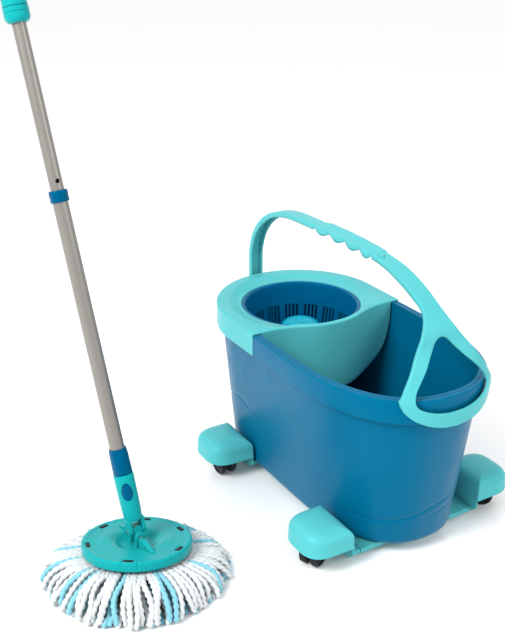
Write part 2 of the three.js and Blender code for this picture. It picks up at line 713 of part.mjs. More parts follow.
// The yarn is one soft body: flat on the floor, its top follows the tilted plate.
function yarnSkirt() {
  const drop = PLATE_TOP - PLATE_T - CARRIER_T - GAP;
  const seat = PIVOT.clone().addScaledVector(plateUp, drop);
  const h = seat.z;
  const g = geometryOf(turned([
    [0, 0], [SKIRT_R - 8, 0], [SKIRT_R, 0.2 * h], [SKIRT_R - 6, 0.45 * h],
    [SKIRT_R - 19, 0.75 * h], [PLATE_R + 25, 0.95 * h], [PLATE_R + 9, h], [0, h],
  ], 40));
  const p = g.attributes.position;
  for (let i = 0; i < p.count; i += 1) {
    const x = p.getX(i);
    const y = p.getY(i);
    const share = p.getZ(i) / h;
    const reach = Math.min(1, (PLATE_R + 11) / Math.max(1, Math.hypot(x, y)));
    const tilt = -(plateUp.x * x + plateUp.y * y) / plateUp.z;
    p.setZ(i, share * (h + tilt * reach));
  }
  g.translate(seat.x, seat.y, 0);
  return solid(g);
}

place('yarn_skirt', yarnSkirt(), white());

place('lower_pin', bar(PIN_R, 'x', LUG_GAP + 2 * LUG_T + 3, 0, 0, 0, 20), steel(), plateFrame);
const crossX = LUG_GAP / 2 - RUN;
place('joint_cross', box(-crossX, crossX, -CROSS_HALF, CROSS_HALF, -5.5, UPPER_PIN_Z + 5.5)
  .subtract(bar(PIN_R + RUN, 'x', 40, 0, 0, 0))
  .subtract(bar(PIN_R + RUN, 'y', 40, 0, 0, UPPER_PIN_Z)), black(), crossFrame);
place('upper_pin', bar(PIN_R, 'y', 2 * FORK_HALF + 3, 0, 0, 0, 20), steel(), poleFrame);

// ------------------------------------------------------------- pole and grip
// Drawn in the pole's own frame, whose zero is the upper pin.
function mopSocket() {
  const low = 15;
  const bore = PLUG_R + GAP;
  let body = turned([
    [0, low], [SOCKET_R - 2, low], [SOCKET_R, low + 12], [SOCKET_R + 0.5, SOCKET_TOP - 3],
    [SOCKET_R, SOCKET_TOP], [bore, SOCKET_TOP], [bore, low + 9], [0, low + 9],
  ]);
  const armT = FORK_HALF - FORK_INNER;
  for (const side of [-1, 1]) {
    const y = side * (FORK_INNER + armT / 2);
    body = body.add(box(-6.5, 6.5, y - armT / 2, y + armT / 2, 0, low + 6));
    body = body.add(bar(6.5, 'y', armT, 0, y, 0));
  }
  return body.subtract(buttonPlug(RUN, -20, -4)).subtract(bar(PIN_R + GAP, 'y', 60, 0, 0, 0));
}

// An egg-shaped plug through the side wall, turned round the pole to BUTTON_TURN.
function buttonPlug(grow, y0, y1) {
  const points = [];
  for (let i = 0; i < 24; i += 1) {
    const a = (i / 24) * 2 * Math.PI;
    const width = BUTTON_HALF_W * (1 - 0.14 * Math.sin(a));
    points.push([(width + grow) * Math.cos(a), BUTTON_Z + (BUTTON_HALF_H + grow) * Math.sin(a)]);
  }
  return facingY(points, y0, y1).rotate([0, 0, BUTTON_TURN]);
}

function releaseButton() {
  const half = BUTTON_HALF_H + 4;
  const flange = box(-4.6, 4.6, 1.2 - PLUG_R, 2.8 - PLUG_R, BUTTON_Z - half, BUTTON_Z + half);
  return buttonPlug(0, -SOCKET_R - 1.6, 2 - PLUG_R).add(flange.rotate([0, 0, BUTTON_TURN]));
}

place('mop_socket', mopSocket(), teal(), poleFrame);
place('release_button', releaseButton(), blue(), poleFrame);

const sleeveLow = SOCKET_TOP + GAP;
place('pole_sleeve', turned([
  [0, SOCKET_TOP - 7], [PLUG_R, SOCKET_TOP - 7], [PLUG_R, sleeveLow], [SLEEVE_R + 0.8, sleeveLow],
  [SLEEVE_R + 0.3, SLEEVE_TOP - 8], [SLEEVE_R - 0.8, SLEEVE_TOP], [TUBE_R + GAP, SLEEVE_TOP],
  [TUBE_R + GAP, sleeveLow + 8], [0, sleeveLow + 8],
]), blue(), poleFrame);

// A plain tube between two heights.
function tube(outer, inner, z0, z1) {
  return turned([[inner, z0], [outer, z0], [outer, z1], [inner, z1]]);
}

place('lower_tube', tube(
  TUBE_R, TUBE_R - TUBE_WALL, sleeveLow + 8 + GAP, COLLAR_Z + COLLAR_LENGTH - 2,
), steel(), poleFrame);

const collarTop = COLLAR_Z + COLLAR_LENGTH;
place('tube_collar', turned([
  [TUBE_R + GAP, COLLAR_Z], [TUBE_R + 1.8, COLLAR_Z], [TUBE_R + 2.4, COLLAR_Z + 2],
  [TUBE_R + 2.4, collarTop - 2.5], [TUBE_R + 1.5, collarTop], [INNER_R + RUN, collarTop],
  [INNER_R + RUN, collarTop - 1.6],
  [TUBE_R + GAP, collarTop - 1.6],
]), blue(), poleFrame);

const lockHole = bar(HOLE_R, 'x', 10, INNER_R + 1, 0, HOLE_Z, 20);
place('upper_tube', tube(INNER_R, INNER_R - TUBE_WALL, INNER_LOW, INNER_TOP)
  .subtract(lockHole), steel(), poleFrame);

const bushR = INNER_R - TUBE_WALL - GAP;
const rodWay = ROD_W / 2 + 1.2;
const nutTop = NUT_Z + NUT_T;
place('tube_bush', turned([
  [rodWay, NUT_Z - 8], [bushR, NUT_Z - 8], [bushR, INNER_TOP], [rodWay, INNER_TOP],
  [rodWay, nutTop + RUN], [bushR - 1, nutTop + RUN], [bushR - 1, NUT_Z - RUN], [rodWay, NUT_Z - RUN],
]), black(), poleFrame);

// A flat bar twisted once per ROD_PITCH. Its flat side faces Y at the nut's middle.
function twisted(width, thickness, z0, z1, steps) {
  return bent([1, 1, steps], (u, v, w) => {
    const z = lerp(z0, z1, w);
    const a = 2 * Math.PI * (z - NUT_Z - NUT_T / 2) / ROD_PITCH;
    const x = (u - 0.5) * width;
    const y = (v - 0.5) * thickness;
    return [x * Math.cos(a) - y * Math.sin(a), x * Math.sin(a) + y * Math.cos(a), z];
  });
}

const rodTop = ROD_LOW + ROD_LENGTH;
place('drive_nut', post(bushR - 1 - RUN, 0, 0, NUT_Z, nutTop, 32)
  .subtract(twisted(ROD_W + 2 * RUN, ROD_T + 2 * RUN, NUT_Z - 2, nutTop + 2, 8)), steel(), poleFrame);
place('twist_rod', twisted(ROD_W, ROD_T, ROD_LOW, rodTop, 64), steel(), poleFrame);

place('lock_ring', turned([
  [INNER_R + RUN, GRIP_Z], [GRIP_R - 4.5, GRIP_Z], [GRIP_R - 1, GRIP_Z + 3.5], [GRIP_R, GRIP_Z + 8],
  [GRIP_R, GRIP_Z + RING_LENGTH], [INNER_R + RUN, GRIP_Z + RING_LENGTH],
]), teal(), poleFrame);

const gripLow = GRIP_Z + RING_LENGTH + GAP;
const gripTop = GRIP_Z + GRIP_LENGTH;
place('grip_body', turned([
  [INNER_R + RUN, gripLow], [GRIP_R - 0.6, gripLow], [GRIP_R - 1.2, gripLow + 40],
  [GRIP_R - 2.2, gripLow + 110], [GRIP_R - 1.6, gripTop - 50], [GRIP_R, gripTop],
  [0, gripTop], [0, rodTop + GAP], [ROD_W / 2 + 0.7, rodTop + GAP],
  [ROD_W / 2 + 0.7, INNER_TOP + 8], [INNER_R + RUN, INNER_TOP + 8],
]), teal(), poleFrame);

place('grip_end_cap', turned([
  [0, gripTop + GAP], [GRIP_R, gripTop + GAP], [GRIP_R, gripTop + 5], [GRIP_R - 3, gripTop + 12],
  [GRIP_R - 9, gripTop + 16], [0, gripTop + 17],
]).subtract(bar(3.5, 'y', 50, 0, 0, gripTop + 9, 20)), blue(), poleFrame);

export default group;
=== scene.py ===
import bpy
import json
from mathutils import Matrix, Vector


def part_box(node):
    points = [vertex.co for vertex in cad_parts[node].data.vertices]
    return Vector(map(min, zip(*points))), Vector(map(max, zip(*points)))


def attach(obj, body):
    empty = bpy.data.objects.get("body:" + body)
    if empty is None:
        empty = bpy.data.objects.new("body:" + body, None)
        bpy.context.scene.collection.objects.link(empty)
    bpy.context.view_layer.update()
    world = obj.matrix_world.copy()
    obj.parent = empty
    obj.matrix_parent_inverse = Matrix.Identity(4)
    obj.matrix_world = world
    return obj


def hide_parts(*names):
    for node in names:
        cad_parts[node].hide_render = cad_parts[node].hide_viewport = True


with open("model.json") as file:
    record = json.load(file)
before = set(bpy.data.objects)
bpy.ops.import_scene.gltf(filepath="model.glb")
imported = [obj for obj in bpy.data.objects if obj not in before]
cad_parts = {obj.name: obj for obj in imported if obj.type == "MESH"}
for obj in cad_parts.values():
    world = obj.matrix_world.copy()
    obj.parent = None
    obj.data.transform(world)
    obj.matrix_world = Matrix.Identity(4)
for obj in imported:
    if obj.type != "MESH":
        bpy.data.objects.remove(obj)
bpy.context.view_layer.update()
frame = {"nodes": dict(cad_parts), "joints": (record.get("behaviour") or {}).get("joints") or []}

import json
import math

import bmesh
import bpy
import numpy as np

joints = {joint["name"]: joint for joint in frame["joints"]}

# %% [markdown]
# Lengths below are in millimetres, measured from the point on the floor under the basket's spin axis,
# because a bucket is drawn round that axis. One helper turns them into the frame's metres.
# %% Find the basket's axis
low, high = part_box("spinner_basket")
AXIS = np.array([(low.x + high.x) / 2, (low.y + high.y) / 2, 0]) * 1000
print("basket axis at", AXIS.round(1), "mm")


def from_frame(point):
    """A point of the frame in metres, as millimetres from the basket's axis."""
    return np.array(point, float) * 1000 - AXIS


# %% [markdown]
# Every moulded piece is a grid of points: rows along one direction, columns along the other. Four
# neighbouring points make a face. Where the grid closes on itself, the last row or column is joined to
# the first. One function turns such grids into a mesh, merges points that fall together at poles and
# seams, and marks only real creases as sharp.
# %% Grids into pieces
def grid_faces(rows, columns, ring_rows=False, ring_columns=False, start=0):
    """Faces of a grid stored row by row: (i, j), (i, j+1), (i+1, j+1), (i+1, j)."""
    i = np.arange(rows if ring_rows else rows - 1)[:, None]
    j = np.arange(columns if ring_columns else columns - 1)[None, :]
    i2, j2 = (i + 1) % rows, (j + 1) % columns
    corners = [i * columns + j, i * columns + j2, i2 * columns + j2, i2 * columns + j]
    return start + np.stack(np.broadcast_arrays(*corners), -1).reshape(-1, 4)


def joined(*parts):
    """Several (points, faces) pairs as one, with each part's faces counted on from the last."""
    points, faces, count = [], [], 0
    for p, f in parts:
        p = np.asarray(p, float).reshape(-1, 3)
        points.append(p)
        faces.append(np.asarray(f) + count)
        count += len(p)
    return np.concatenate(points), np.concatenate(faces)


def add_piece(name, shape, finish, body, stands_for=(), open_sheet=False, uv=None,
              thickness=0, sharp=38):
    """Millimetre points and faces become an object at the origin that rides on a body."""
    points, faces = shape
    points = (np.asarray(points, float).reshape(-1, 3) + AXIS) / 1000
    mesh = bpy.data.meshes.new(name)
    mesh.from_pydata(points, [], np.asarray(faces).tolist())
    if uv is not None:
        layer = mesh.uv_layers.new(name="UVMap")
        corner = np.empty(len(mesh.loops), np.int32)
        mesh.loops.foreach_get("vertex_index", corner)
        layer.data.foreach_set("uv", np.asarray(uv, np.float32)[corner].ravel())
    work = bmesh.new()
    work.from_mesh(mesh)
    bmesh.ops.remove_doubles(work, verts=work.verts, dist=2e-6)
    if not open_sheet:
        bmesh.ops.recalc_face_normals(work, faces=work.faces)
    work.to_mesh(mesh)
    work.free()
    mesh.shade_smooth()
    mesh.set_sharp_from_angle(angle=math.radians(sharp))
    mesh.materials.append(finish)
    piece = bpy.data.objects.new(name, mesh)
    bpy.context.scene.collection.objects.link(piece)
    if thickness:
        wall = piece.modifiers.new("wall", "SOLIDIFY")
        wall.thickness, wall.offset, wall.use_even_offset = thickness / 1000, -1, False
    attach(piece, body)
    if stands_for:
        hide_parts(*stands_for)
    return piece


# %% [markdown]
# A sharp corner looks unreal on moulded plastic, so outlines are written with plain corners and then
# rounded. Each corner is cut back by its radius and bridged by a parabola that touches both sides.
# %% Rounded outlines, turned shapes and slabs
def rounded(outline, radius, steps=4, closed=True):
    """Point = (1-t)^2 start + 2t(1-t) corner + t^2 end, for t from 0 to 1 at each corner."""
    p = np.array(outline, float)
    n = len(p)
    cut = np.broadcast_to(radius, n)
    t = np.linspace(0, 1, steps + 1)[:, None]
    out = []
    for i in range(n):
        end = not closed and i in (0, n - 1)
        if end or cut[i] <= 0:
            out.append(p[i:i + 1])
            continue
        before, corner, after = p[i - 1], p[i], p[(i + 1) % n]
        back, on = before - corner, after - corner
        a, b = np.linalg.norm(back), np.linalg.norm(on)
        k = min(cut[i], 0.48 * a, 0.48 * b)
        s, e = corner + back / a * k, corner + on / b * k
        out.append((1 - t) ** 2 * s + 2 * t * (1 - t) * corner + t ** 2 * e)
    return np.concatenate(out)


def turned(profile, turns=72, closed=False):
    """A (radius, height) profile turned about Z: x = r cos a, y = r sin a."""
    p = np.array(profile, float)
    a = np.linspace(0, 2 * np.pi, turns, endpoint=False)
    r, z = p[:, :1], p[:, 1:]
    points = np.stack([r * np.cos(a), r * np.sin(a), z + 0 * a], -1)
    return points.reshape(-1, 3), grid_faces(len(p), turns, closed, True)


def slab(outline, low, high, edge):
    """A flat outline between two heights, its edges rounded: rows run from the middle of the
    underside, out and up over a quarter round, and back to the middle of the top."""
    p = np.array(outline, float)
    middle = p.mean(0)
    ahead, behind = np.roll(p, -1, 0), np.roll(p, 1, 0)
    along = ahead - behind
    inward = np.stack([-along[:, 1], along[:, 0]], -1)
    inward /= np.linalg.norm(inward, axis=1)[:, None]
    inward *= np.sign(((middle - p) * inward).sum())
    q = np.linspace(0, np.pi / 2, 4)
    rows = [(None, low)]
    rows += [(edge * (1 - math.sin(a)), low + edge * (1 - math.cos(a))) for a in q]
    rows += [(edge * (1 - math.sin(a)), high - edge * (1 - math.cos(a))) for a in q[::-1]]
    rows += [(None, high)]
    layers = []
    for inset, z in rows:
        flat = np.repeat(middle[None], len(p), 0) if inset is None else p + inward * inset
        layers.append(np.column_stack([flat, np.full(len(p), z)]))
    return np.concatenate(layers), grid_faces(len(rows), len(p), False, True)


def seen_from(points, x, y, z, origin):
    """Points of a local frame in the set's own directions: origin + X x + Y y + Z z."""
    p = np.asarray(points, float).reshape(-1, 3)
    return p @ np.array([x, y, z]) + np.asarray(origin)


def smoothstep(x, a, b):
    """0 before a, 1 after b, and t^2 (3 - 2t) between."""
    t = np.clip((x - a) / (b - a), 0, 1)
    return t * t * (3 - 2 * t)


# %% [markdown]
# Materials are graphs of nodes. To write them like sums, a small class wraps a node's output socket:
# adding or multiplying two of them adds the Math node that does it. Any other node is made by one
# method, which sets its options first and its sockets after.
# %% A way to write materials
class Value:
    """A number that changes over the surface."""

    def __init__(self, paint, socket):
        self.paint, self.socket = paint, socket

    def using(self, operation, *others, swap=False):
        values = [self, *others]
        values = values[::-1] if swap else values
        sockets = dict(enumerate(values))
        node = self.paint.node("ShaderNodeMath", {"operation": operation}, sockets)
        return Value(self.paint, node.outputs[0])

    def __add__(self, other):
        return self.using("ADD", other)

    def __mul__(self, other):
        return self.using("MULTIPLY", other)

    def __sub__(self, other):
        return self.using("SUBTRACT", other)

    def __rsub__(self, other):
        return self.using("SUBTRACT", other, swap=True)

    def clamped(self, low, high):
        return self.using("MAXIMUM", low).using("MINIMUM", high)

    __radd__, __rmul__ = __add__, __mul__


class Paint:
    """One material, with its principled shader and output ready."""

    def __init__(self, name, **constants):
        self.material = bpy.data.materials.new(name)
        self.material.use_nodes = True
        self.tree = self.material.node_tree
        self.tree.nodes.clear()
        self.shader = self.node("ShaderNodeBsdfPrincipled")
        out = self.node("ShaderNodeOutputMaterial")
        self.tree.links.new(self.shader.outputs[0], out.inputs[0])
        for socket, value in constants.items():
            self.feed(socket.replace("_", " "), value)

    def node(self, kind, settings=None, sockets=None):
        node = self.tree.nodes.new(kind)
        for name, value in (settings or {}).items():
            if name == "stops":
                for k, (place, colour) in enumerate(value):
                    stop = node.color_ramp.elements[k] if k < 2 else node.color_ramp.elements.new(place)
                    stop.position, stop.color = place, colour
            else:
                setattr(node, name, value)
        for key, value in (sockets or {}).items():
            self.set(node.inputs[key], value)
        return node

    def set(self, socket, value):
        if isinstance(value, Value):
            self.tree.links.new(value.socket, socket)
        elif isinstance(value, bpy.types.NodeSocket):
            self.tree.links.new(value, socket)
        else:
            socket.default_value = value

    def feed(self, socket, value):
        self.set(self.shader.inputs[socket], value)

    def where(self):
        return self.node("ShaderNodeTexCoord").outputs["Object"]

    def noise(self, scale, detail=2.0, vector=None):
        node = self.node("ShaderNodeTexNoise", {}, {
            "Vector": vector or self.where(), "Scale": scale, "Detail": detail})
        return Value(self, node.outputs["Fac"])

    def mix(self, share, a, b):
        node = self.node("ShaderNodeMix", {"data_type": "RGBA"}, {0: share, 6: a, 7: b})
        return node.outputs[2]

    def bump(self, height, depth, strength=1.0):
        node = self.node("ShaderNodeBump", {}, {
            "Height": height, "Distance": depth, "Strength": strength})
        self.feed("Normal", node.outputs[0])


def shade(colour, k):
    """A colour with its red, green and blue multiplied by k."""
    return (*[min(1.0, c * k) for c in colour[:3]], 1.0)


def srgb(code):
    """A web colour such as "1a8fb5" as linear light."""
    part = np.array([int(code[i:i + 2], 16) for i in (0, 2, 4)]) / 255
    linear = np.where(part <= 0.04045, part / 12.92, ((part + 0.055) / 1.055) ** 2.4)
    return (*linear.tolist(), 1.0)


# %% [markdown]
# Moulded polypropylene is a soft gloss with a very fine orange peel, a slow drift of tone from the
# flow of the melt, and a scatter of dull rubbed spots. One recipe makes the whole family of plastics.
# %% The plastics
def moulded(name, code, roughness=0.32, peel=0.00006, drift=0.05, rub=0.1, sheen=0.25):
    colour = srgb(code)
    glint = shade(colour, 1 / max(colour[:3]))
    paint = Paint(name, IOR=1.49, Specular_IOR_Level=sheen, Specular_Tint=glint)
    flow = paint.noise(7, 2)
    rubbed = paint.noise(55, 4).using("SUBTRACT", 0.52).using("MULTIPLY", 5).clamped(0, 1)
    tone = paint.mix(flow, shade(colour, 1 - drift), shade(colour, 1 + drift))
    paint.feed("Base Color", paint.mix(rubbed * 0.12, tone, shade(colour, 1.14)))
    paint.feed("Roughness", roughness + rubbed * rub + (flow - 0.5) * 0.06)
    paint.bump(paint.noise(900, 2), peel, 0.5)
    return paint.material


BLUE = moulded("bucket_blue", "005f82", 0.34)
TURQUOISE = moulded("deck_turquoise", "50b0b4", 0.32)
TEAL = moulded("mop_teal", "149799", 0.3)
DEEP_BLUE = moulded("basket_blue", "005780", 0.3)
CAP_BLUE = moulded("hub_cap_blue", "0898b0", 0.3)
MOP_BLUE = moulded("mop_blue", "004f72", 0.3)
BLACK = moulded("caster_black", "1b1b1f", 0.42, peel=0.0001)
print("plastics ready")

# %% [markdown]
# The pole is steel tube with a warm grey coat. Its drawing left faint lines along it, so the noise is
# stretched along the pole's own direction. Bare steel is only seen on pins and the twisted rod.
# %% The metals
def drawn_metal(name, code, roughness, metallic, direction=None):
    colour = srgb(code)
    paint = Paint(name)
    place = paint.where()
    if direction is not None:
        across = paint.node("ShaderNodeVectorMath", {"operation": "DOT_PRODUCT"}, {
            0: place, 1: tuple(direction)})
        along = paint.node("ShaderNodeVectorMath", {"operation": "SCALE"}, {
            0: tuple(direction), "Scale": Value(paint, across.outputs["Value"]) * 0.97})
        flat = paint.node("ShaderNodeVectorMath", {"operation": "SUBTRACT"}, {
            0: place, 1: along.outputs[0]})
        place = flat.outputs[0]
    lines = paint.noise(1500, 3, place)
    cloud = paint.noise(20, 3)
    paint.feed("Base Color", paint.mix(lines, shade(colour, 0.88), shade(colour, 1.12)))
    paint.feed("Metallic", metallic)
    paint.feed("Roughness", roughness + lines * 0.12 + (cloud - 0.5) * 0.1)
    paint.bump(lines, 0.00003, 0.4)
    return paint.material


POLE_UP = np.array(joints["pole_extend"]["axis"])
COATED = drawn_metal("coated_tube", "86827d", 0.32, 0.5, POLE_UP)
STEEL = drawn_metal("bare_steel", "c4c2bd", 0.22, 1.0)
print("pole leans", round(math.degrees(math.acos(POLE_UP[2])), 1), "degrees from upright")

# %% [markdown]
# The camera stands to the front and left of the set, at eye height, and looks down a little. Its lens
# is a short portrait lens. It is placed first, because everything else is judged through it.
# %% Camera
def add_camera(place, azimuth, down, lens):
    """Forward = (-sin a cos d, cos a cos d, -sin d) for azimuth a and downward angle d."""
    data = bpy.data.cameras.new("camera")
    data.lens, data.sensor_width = lens, 36
    camera = bpy.data.objects.new("camera", data)
    bpy.context.scene.collection.objects.link(camera)
    camera.location = (np.array(place) + AXIS) / 1000
    camera.rotation_euler = (math.radians(90 - down), 0, math.radians(azimuth))
    bpy.context.scene.camera = camera
    return camera


CAMERA = add_camera((1257.6, -829.0, 901.1), 59.67, 23.72, 55.3)
print("camera", [round(v, 3) for v in CAMERA.location])

# %% [markdown]
# ## The bucket
# Seen from above the bucket is a half circle at the spin end, two straight sides, and a blunt nose to
# pour from. The nose is a superellipse: a curve between an ellipse and a box. The outline is written
# once and drawn inwards for the walls, rim and frame.
# %% The plan outline
HALF, STRAIGHT_TO, NOSE, POWER = 140, 167, 217, 2.4
RIM_Z, FASCIA_Z, FOOT_Z, SEAM_X = 275, 240, 18, 81


def nose_x(y):
    """How far the nose reaches at y: 167 + 217 (1 - |y/140|^2.4)^(1/2.4)."""
    share = 1 - np.minimum(1, np.abs(y) / HALF) ** POWER
    return STRAIGHT_TO + NOSE * share ** (1 / POWER)


def nose_outline(count=141):
    a = np.linspace(-np.pi / 2, np.pi / 2, count)
    a = a + 0.14 * np.sin(2 * a)
    c, s = np.cos(a).clip(0), np.sin(a)
    x = STRAIGHT_TO + NOSE * c ** (2 / POWER)
    return np.column_stack([x, HALF * np.sign(s) * np.abs(s) ** (2 / POWER)])


def round_outline(count=97):
    a = np.linspace(np.pi / 2, 1.5 * np.pi, count)
    return np.column_stack([HALF * np.cos(a), HALF * np.sin(a)])


def side(x0, x1, y, count):
    return np.column_stack([np.linspace(x0, x1, count), np.full(count, y)])


def drawn_in(points, in_x, in_y):
    """Along the bucket a point moves in by in_x at either end, and across it by in_y."""
    x, y = points[..., 0], points[..., 1]
    back = x * (HALF - in_x) / HALF
    front = STRAIGHT_TO + (x - STRAIGHT_TO) * (NOSE - in_x) / NOSE
    new_x = np.where(x < 0, back, np.where(x > STRAIGHT_TO, front, x))
    return new_x, y * (HALF - in_y) / HALF


fascia_part = np.concatenate([side(SEAM_X, STRAIGHT_TO, -HALF, 16)[:-1], nose_outline(),
                              side(STRAIGHT_TO, SEAM_X, HALF, 16)[1:]])
deck_part = np.concatenate([side(SEAM_X, 0, HALF, 14)[:-1], round_outline(),
                            side(0, SEAM_X, -HALF, 14)[1:]])
print("outline points", len(fascia_part), "+", len(deck_part))

# %% [markdown]
# The shell is one profile carried round that outline: up the outside, over the rim, down the inside
# and across the floor. Where the deck sits, the rim is a plain edge. Round the rest it folds over into
# a deep band with a groove along its top. Both profiles have the same number of points, so the band
# ends in a clean wall where they meet.
# %% The bucket shell
def wall(z, add=0.0):
    """The wall leans in from 10 mm at the band to 36 along and 30 across at the foot."""
    t = np.clip((FASCIA_Z - z) / (FASCIA_Z - FOOT_Z), 0, 1)
    return [z, 10 + 26 * t + add, 10 + 20 * t + add]


def flat(z, inset):
    return [z, inset, inset]


foot = [wall(18, 9), wall(18, 6), wall(18.8, 3), wall(21, 1), wall(24, 0.2)]
outside = [wall(z) for z in np.linspace(28, 236, 80)]
band = rounded([(272, 10), (272, 2.6), (240, 2.6), (240, 0), (275, 0), (275, 6), (274.2, 6.6),
                (274.2, 7.8), (275, 8.4), (275, 13)],
               [0, 2, 1, 1.2, 4.5, 0.3, 0.4, 0.4, 0.3, 0], 4, False)
band = [flat(z, inset) for z, inset in band] + [flat(273.6, 13), flat(268, 13)]
edge = rounded([(272.5, 10), (274.7, 10), (274.7, 13), (272, 13)], [0, 1.2, 1.2, 0], 5, False)
plain = [flat(z, 10) for z in np.linspace(240, 272, len(band) - len(edge))]
plain += [flat(z, inset) for z, inset in edge]
inside = [wall(z, 3) for z in np.linspace(262, 30, 60)]
inside += [wall(26, 3.6), wall(22.4, 6), wall(21, 11)]


def shell_levels(middle):
    return np.array([*foot, *outside, *middle, *inside])


def pressed_lines(x, y, z):
    """Shallow lines pressed into the outside: a long wave round the nose, and an arch on each side.
    Each is a smooth furrow, depth x exp(-(distance / width)^2)."""
    nose = smoothstep(x, 235, 300)
    wave = 70 + 26 * np.sin((y + 20) / 62) - 0.16 * y
    first = np.exp(-((z - wave) / 2.0) ** 2)
    second = np.exp(-((z - wave + 16) / 1.6) ** 2) * smoothstep(y, -30, 20)
    arch = 96 + 34 * np.exp(-((x - 2) / 60) ** 2)
    side_line = np.exp(-((z - arch) / 2.0) ** 2) * smoothstep(-np.abs(x - 40), -150, -90)
    return nose * (1.6 * first + 1.2 * second) + (1 - nose) * 1.5 * side_line


def bucket_shell():
    grids = []
    for part, levels in ((fascia_part, shell_levels(band)), (deck_part, shell_levels(plain))):
        z, in_x, in_y = (levels[:, k:k + 1] for k in range(3))
        x, y = drawn_in(part[None], in_x, in_y)
        press = pressed_lines(x, y, z) * (np.arange(len(levels)) < len(foot) + len(outside))[:, None]
        x, y = drawn_in(part[None], in_x + press, in_y + press)
        grids.append(np.stack([x, y, z + 0 * x], -1))
    grid = np.concatenate(grids, 1)
    rows = len(grid)
    centre = np.array([[110, 0, FOOT_Z]]).repeat(grid.shape[1], 0)[None]
    top = centre + [0, 0, 3]
    grid = np.concatenate([centre, grid, top])
    return grid.reshape(-1, 3), grid_faces(rows + 2, grid.shape[1], False, True)


def lugs():
    """Two eyes behind the bucket, square to the hinge pin."""
    eye = [(-147.5 + 7 * math.cos(a), 231 + 7 * math.sin(a)) for a in np.linspace(0.5, 1.5, 15) * np.pi]
    outline = rounded([*eye, (-131, 224), (-131, 238)], 0.4, 2)
    parts = []
    for y in (13.5, -18.5):
        p, f = slab(outline, 0, 5, 0.8)
        parts.append((np.column_stack([p[:, 0], y + p[:, 2], p[:, 1]]), f))
    return joined(*parts)


add_piece("bucket", bucket_shell(), BLUE, "bucket", ["bucket_shell"], sharp=50)
add_piece("hinge_lugs", lugs(), BLUE, "bucket")
print("bucket shell rows", len(shell_levels(band)))

# %% [markdown]
# ## The wringer deck
# The deck drops over the spin end. It has a dished ring round the opening, a band that lines up with
# the bucket's, and a curved apron that hangs in front and keeps splashes off the clean side.
# %% The deck
DECK_Z, FRONT_X, OPENING_R, DISH_R = 278, 80, 98.5, 114
APRON_HALF, APRON_DEPTH, SKIN = 124.5, 118, 2.6


def deck_front(y):
    """The front edge bulges round the opening: 80 + 27.5 exp(-(|y|/66)^2.6)."""
    return FRONT_X + 27.5 * np.exp(-(np.abs(y) / 66) ** 2.6)


def apron_low(y):
    """The apron's lower edge is half a superellipse: 278 - 118 (1 - |y/124.5|^3.2)^(1/3.2)."""
    share = 1 - np.minimum(1, np.abs(y) / APRON_HALF) ** 3.2
    return np.minimum(DECK_Z - APRON_DEPTH * share ** (1 / 3.2), DECK_Z - 3)


def deck_shell():
    a = np.linspace(-1, 1, 121) * np.pi / 2
    y = np.concatenate([[-139.9, -134, -129], APRON_HALF * np.sin(a), [129, 134, 139.9]])
    front = np.column_stack([deck_front(y), y])
    back = np.concatenate([side(FRONT_X, 0, HALF, 14)[:-1], round_outline(121),
                           side(0, FRONT_X, -HALF, 14)[1:]])
    outline = np.concatenate([front, back])
    is_front = np.arange(len(outline)) < len(front)
    low_z = np.where(is_front, apron_low(outline[:, 1]), FASCIA_Z)
    angle = np.arctan2(outline[:, 1], outline[:, 0])
    ring = np.column_stack([np.cos(angle), np.sin(angle)])

    def pulled(inset):
        """The outline moved in: both ways at the back, straight back along X at the front."""
        x, y = drawn_in(outline, inset, inset)
        x = np.where(x > 0, x * (FRONT_X - inset) / FRONT_X, x)
        return np.column_stack([np.where(is_front, outline[:, 0] - inset, x), y])

    flat_in = pulled(6)
    room = np.linalg.norm(flat_in, axis=1) - OPENING_R - 0.8
    squeeze = np.minimum(1, room / 21.5)[:, None]

    def round_opening(r):
        """A circle of radius r, drawn in towards the opening where the front edge is close."""
        return ring * (OPENING_R + (r - OPENING_R) * squeeze)

    rows = []
    lip = rounded([(101, 266), (98.5, 266), (98.5, 272.6), (104, 272.9), (116, 276.6), (120, DECK_Z)],
                  [0, 0.8, 1.6, 2, 2, 0], 4, False)
    for r, z in lip:
        rows.append(np.column_stack([round_opening(r), np.full(len(ring), z)]))
    start = round_opening(120)
    for share in (0.35, 0.7):
        mid = start + (flat_in - start) * share
        rows.append(np.column_stack([mid, np.full(len(mid), DECK_Z)]))
    edge = rounded([(6, DECK_Z), (0, DECK_Z), (0, DECK_Z - 6)], [0, 4, 0], 6, False)
    for inset, z in edge:
        z_row = np.maximum(z, low_z + 0.5)
        rows.append(np.column_stack([pulled(inset), z_row]))
    for share in np.linspace(0, 1, 14)[1:]:
        z_row = (DECK_Z - 6) + (low_z + 1.2 - DECK_Z + 6) * share
        rows.append(np.column_stack([pulled(0), np.maximum(z_row, low_z + 0.3)]))
    rows.append(np.column_stack([pulled(0.5), low_z + 0.2]))
    rows.append(np.column_stack([pulled(1.3), low_z]))
    rows.append(np.column_stack([pulled(2.1), low_z + 0.2]))
    for share in np.linspace(0, 1, 8):
        z_row = low_z + 1.2 + (DECK_Z - 3 - low_z - 1.2) * share
        rows.append(np.column_stack([pulled(SKIN), np.minimum(z_row, DECK_Z - 2.8)]))
    rows.append(np.column_stack([start + (pulled(8) - start) * 0.3, np.full(len(ring), DECK_Z - 2.9)]))
    rows.append(np.column_stack([round_opening(114), np.full(len(ring), 272.6)]))
    rows.append(np.column_stack([round_opening(104), np.full(len(ring), 269.6)]))
    grid = np.stack(rows)
    return grid.reshape(-1, 3), grid_faces(len(rows), len(outline), True, True)


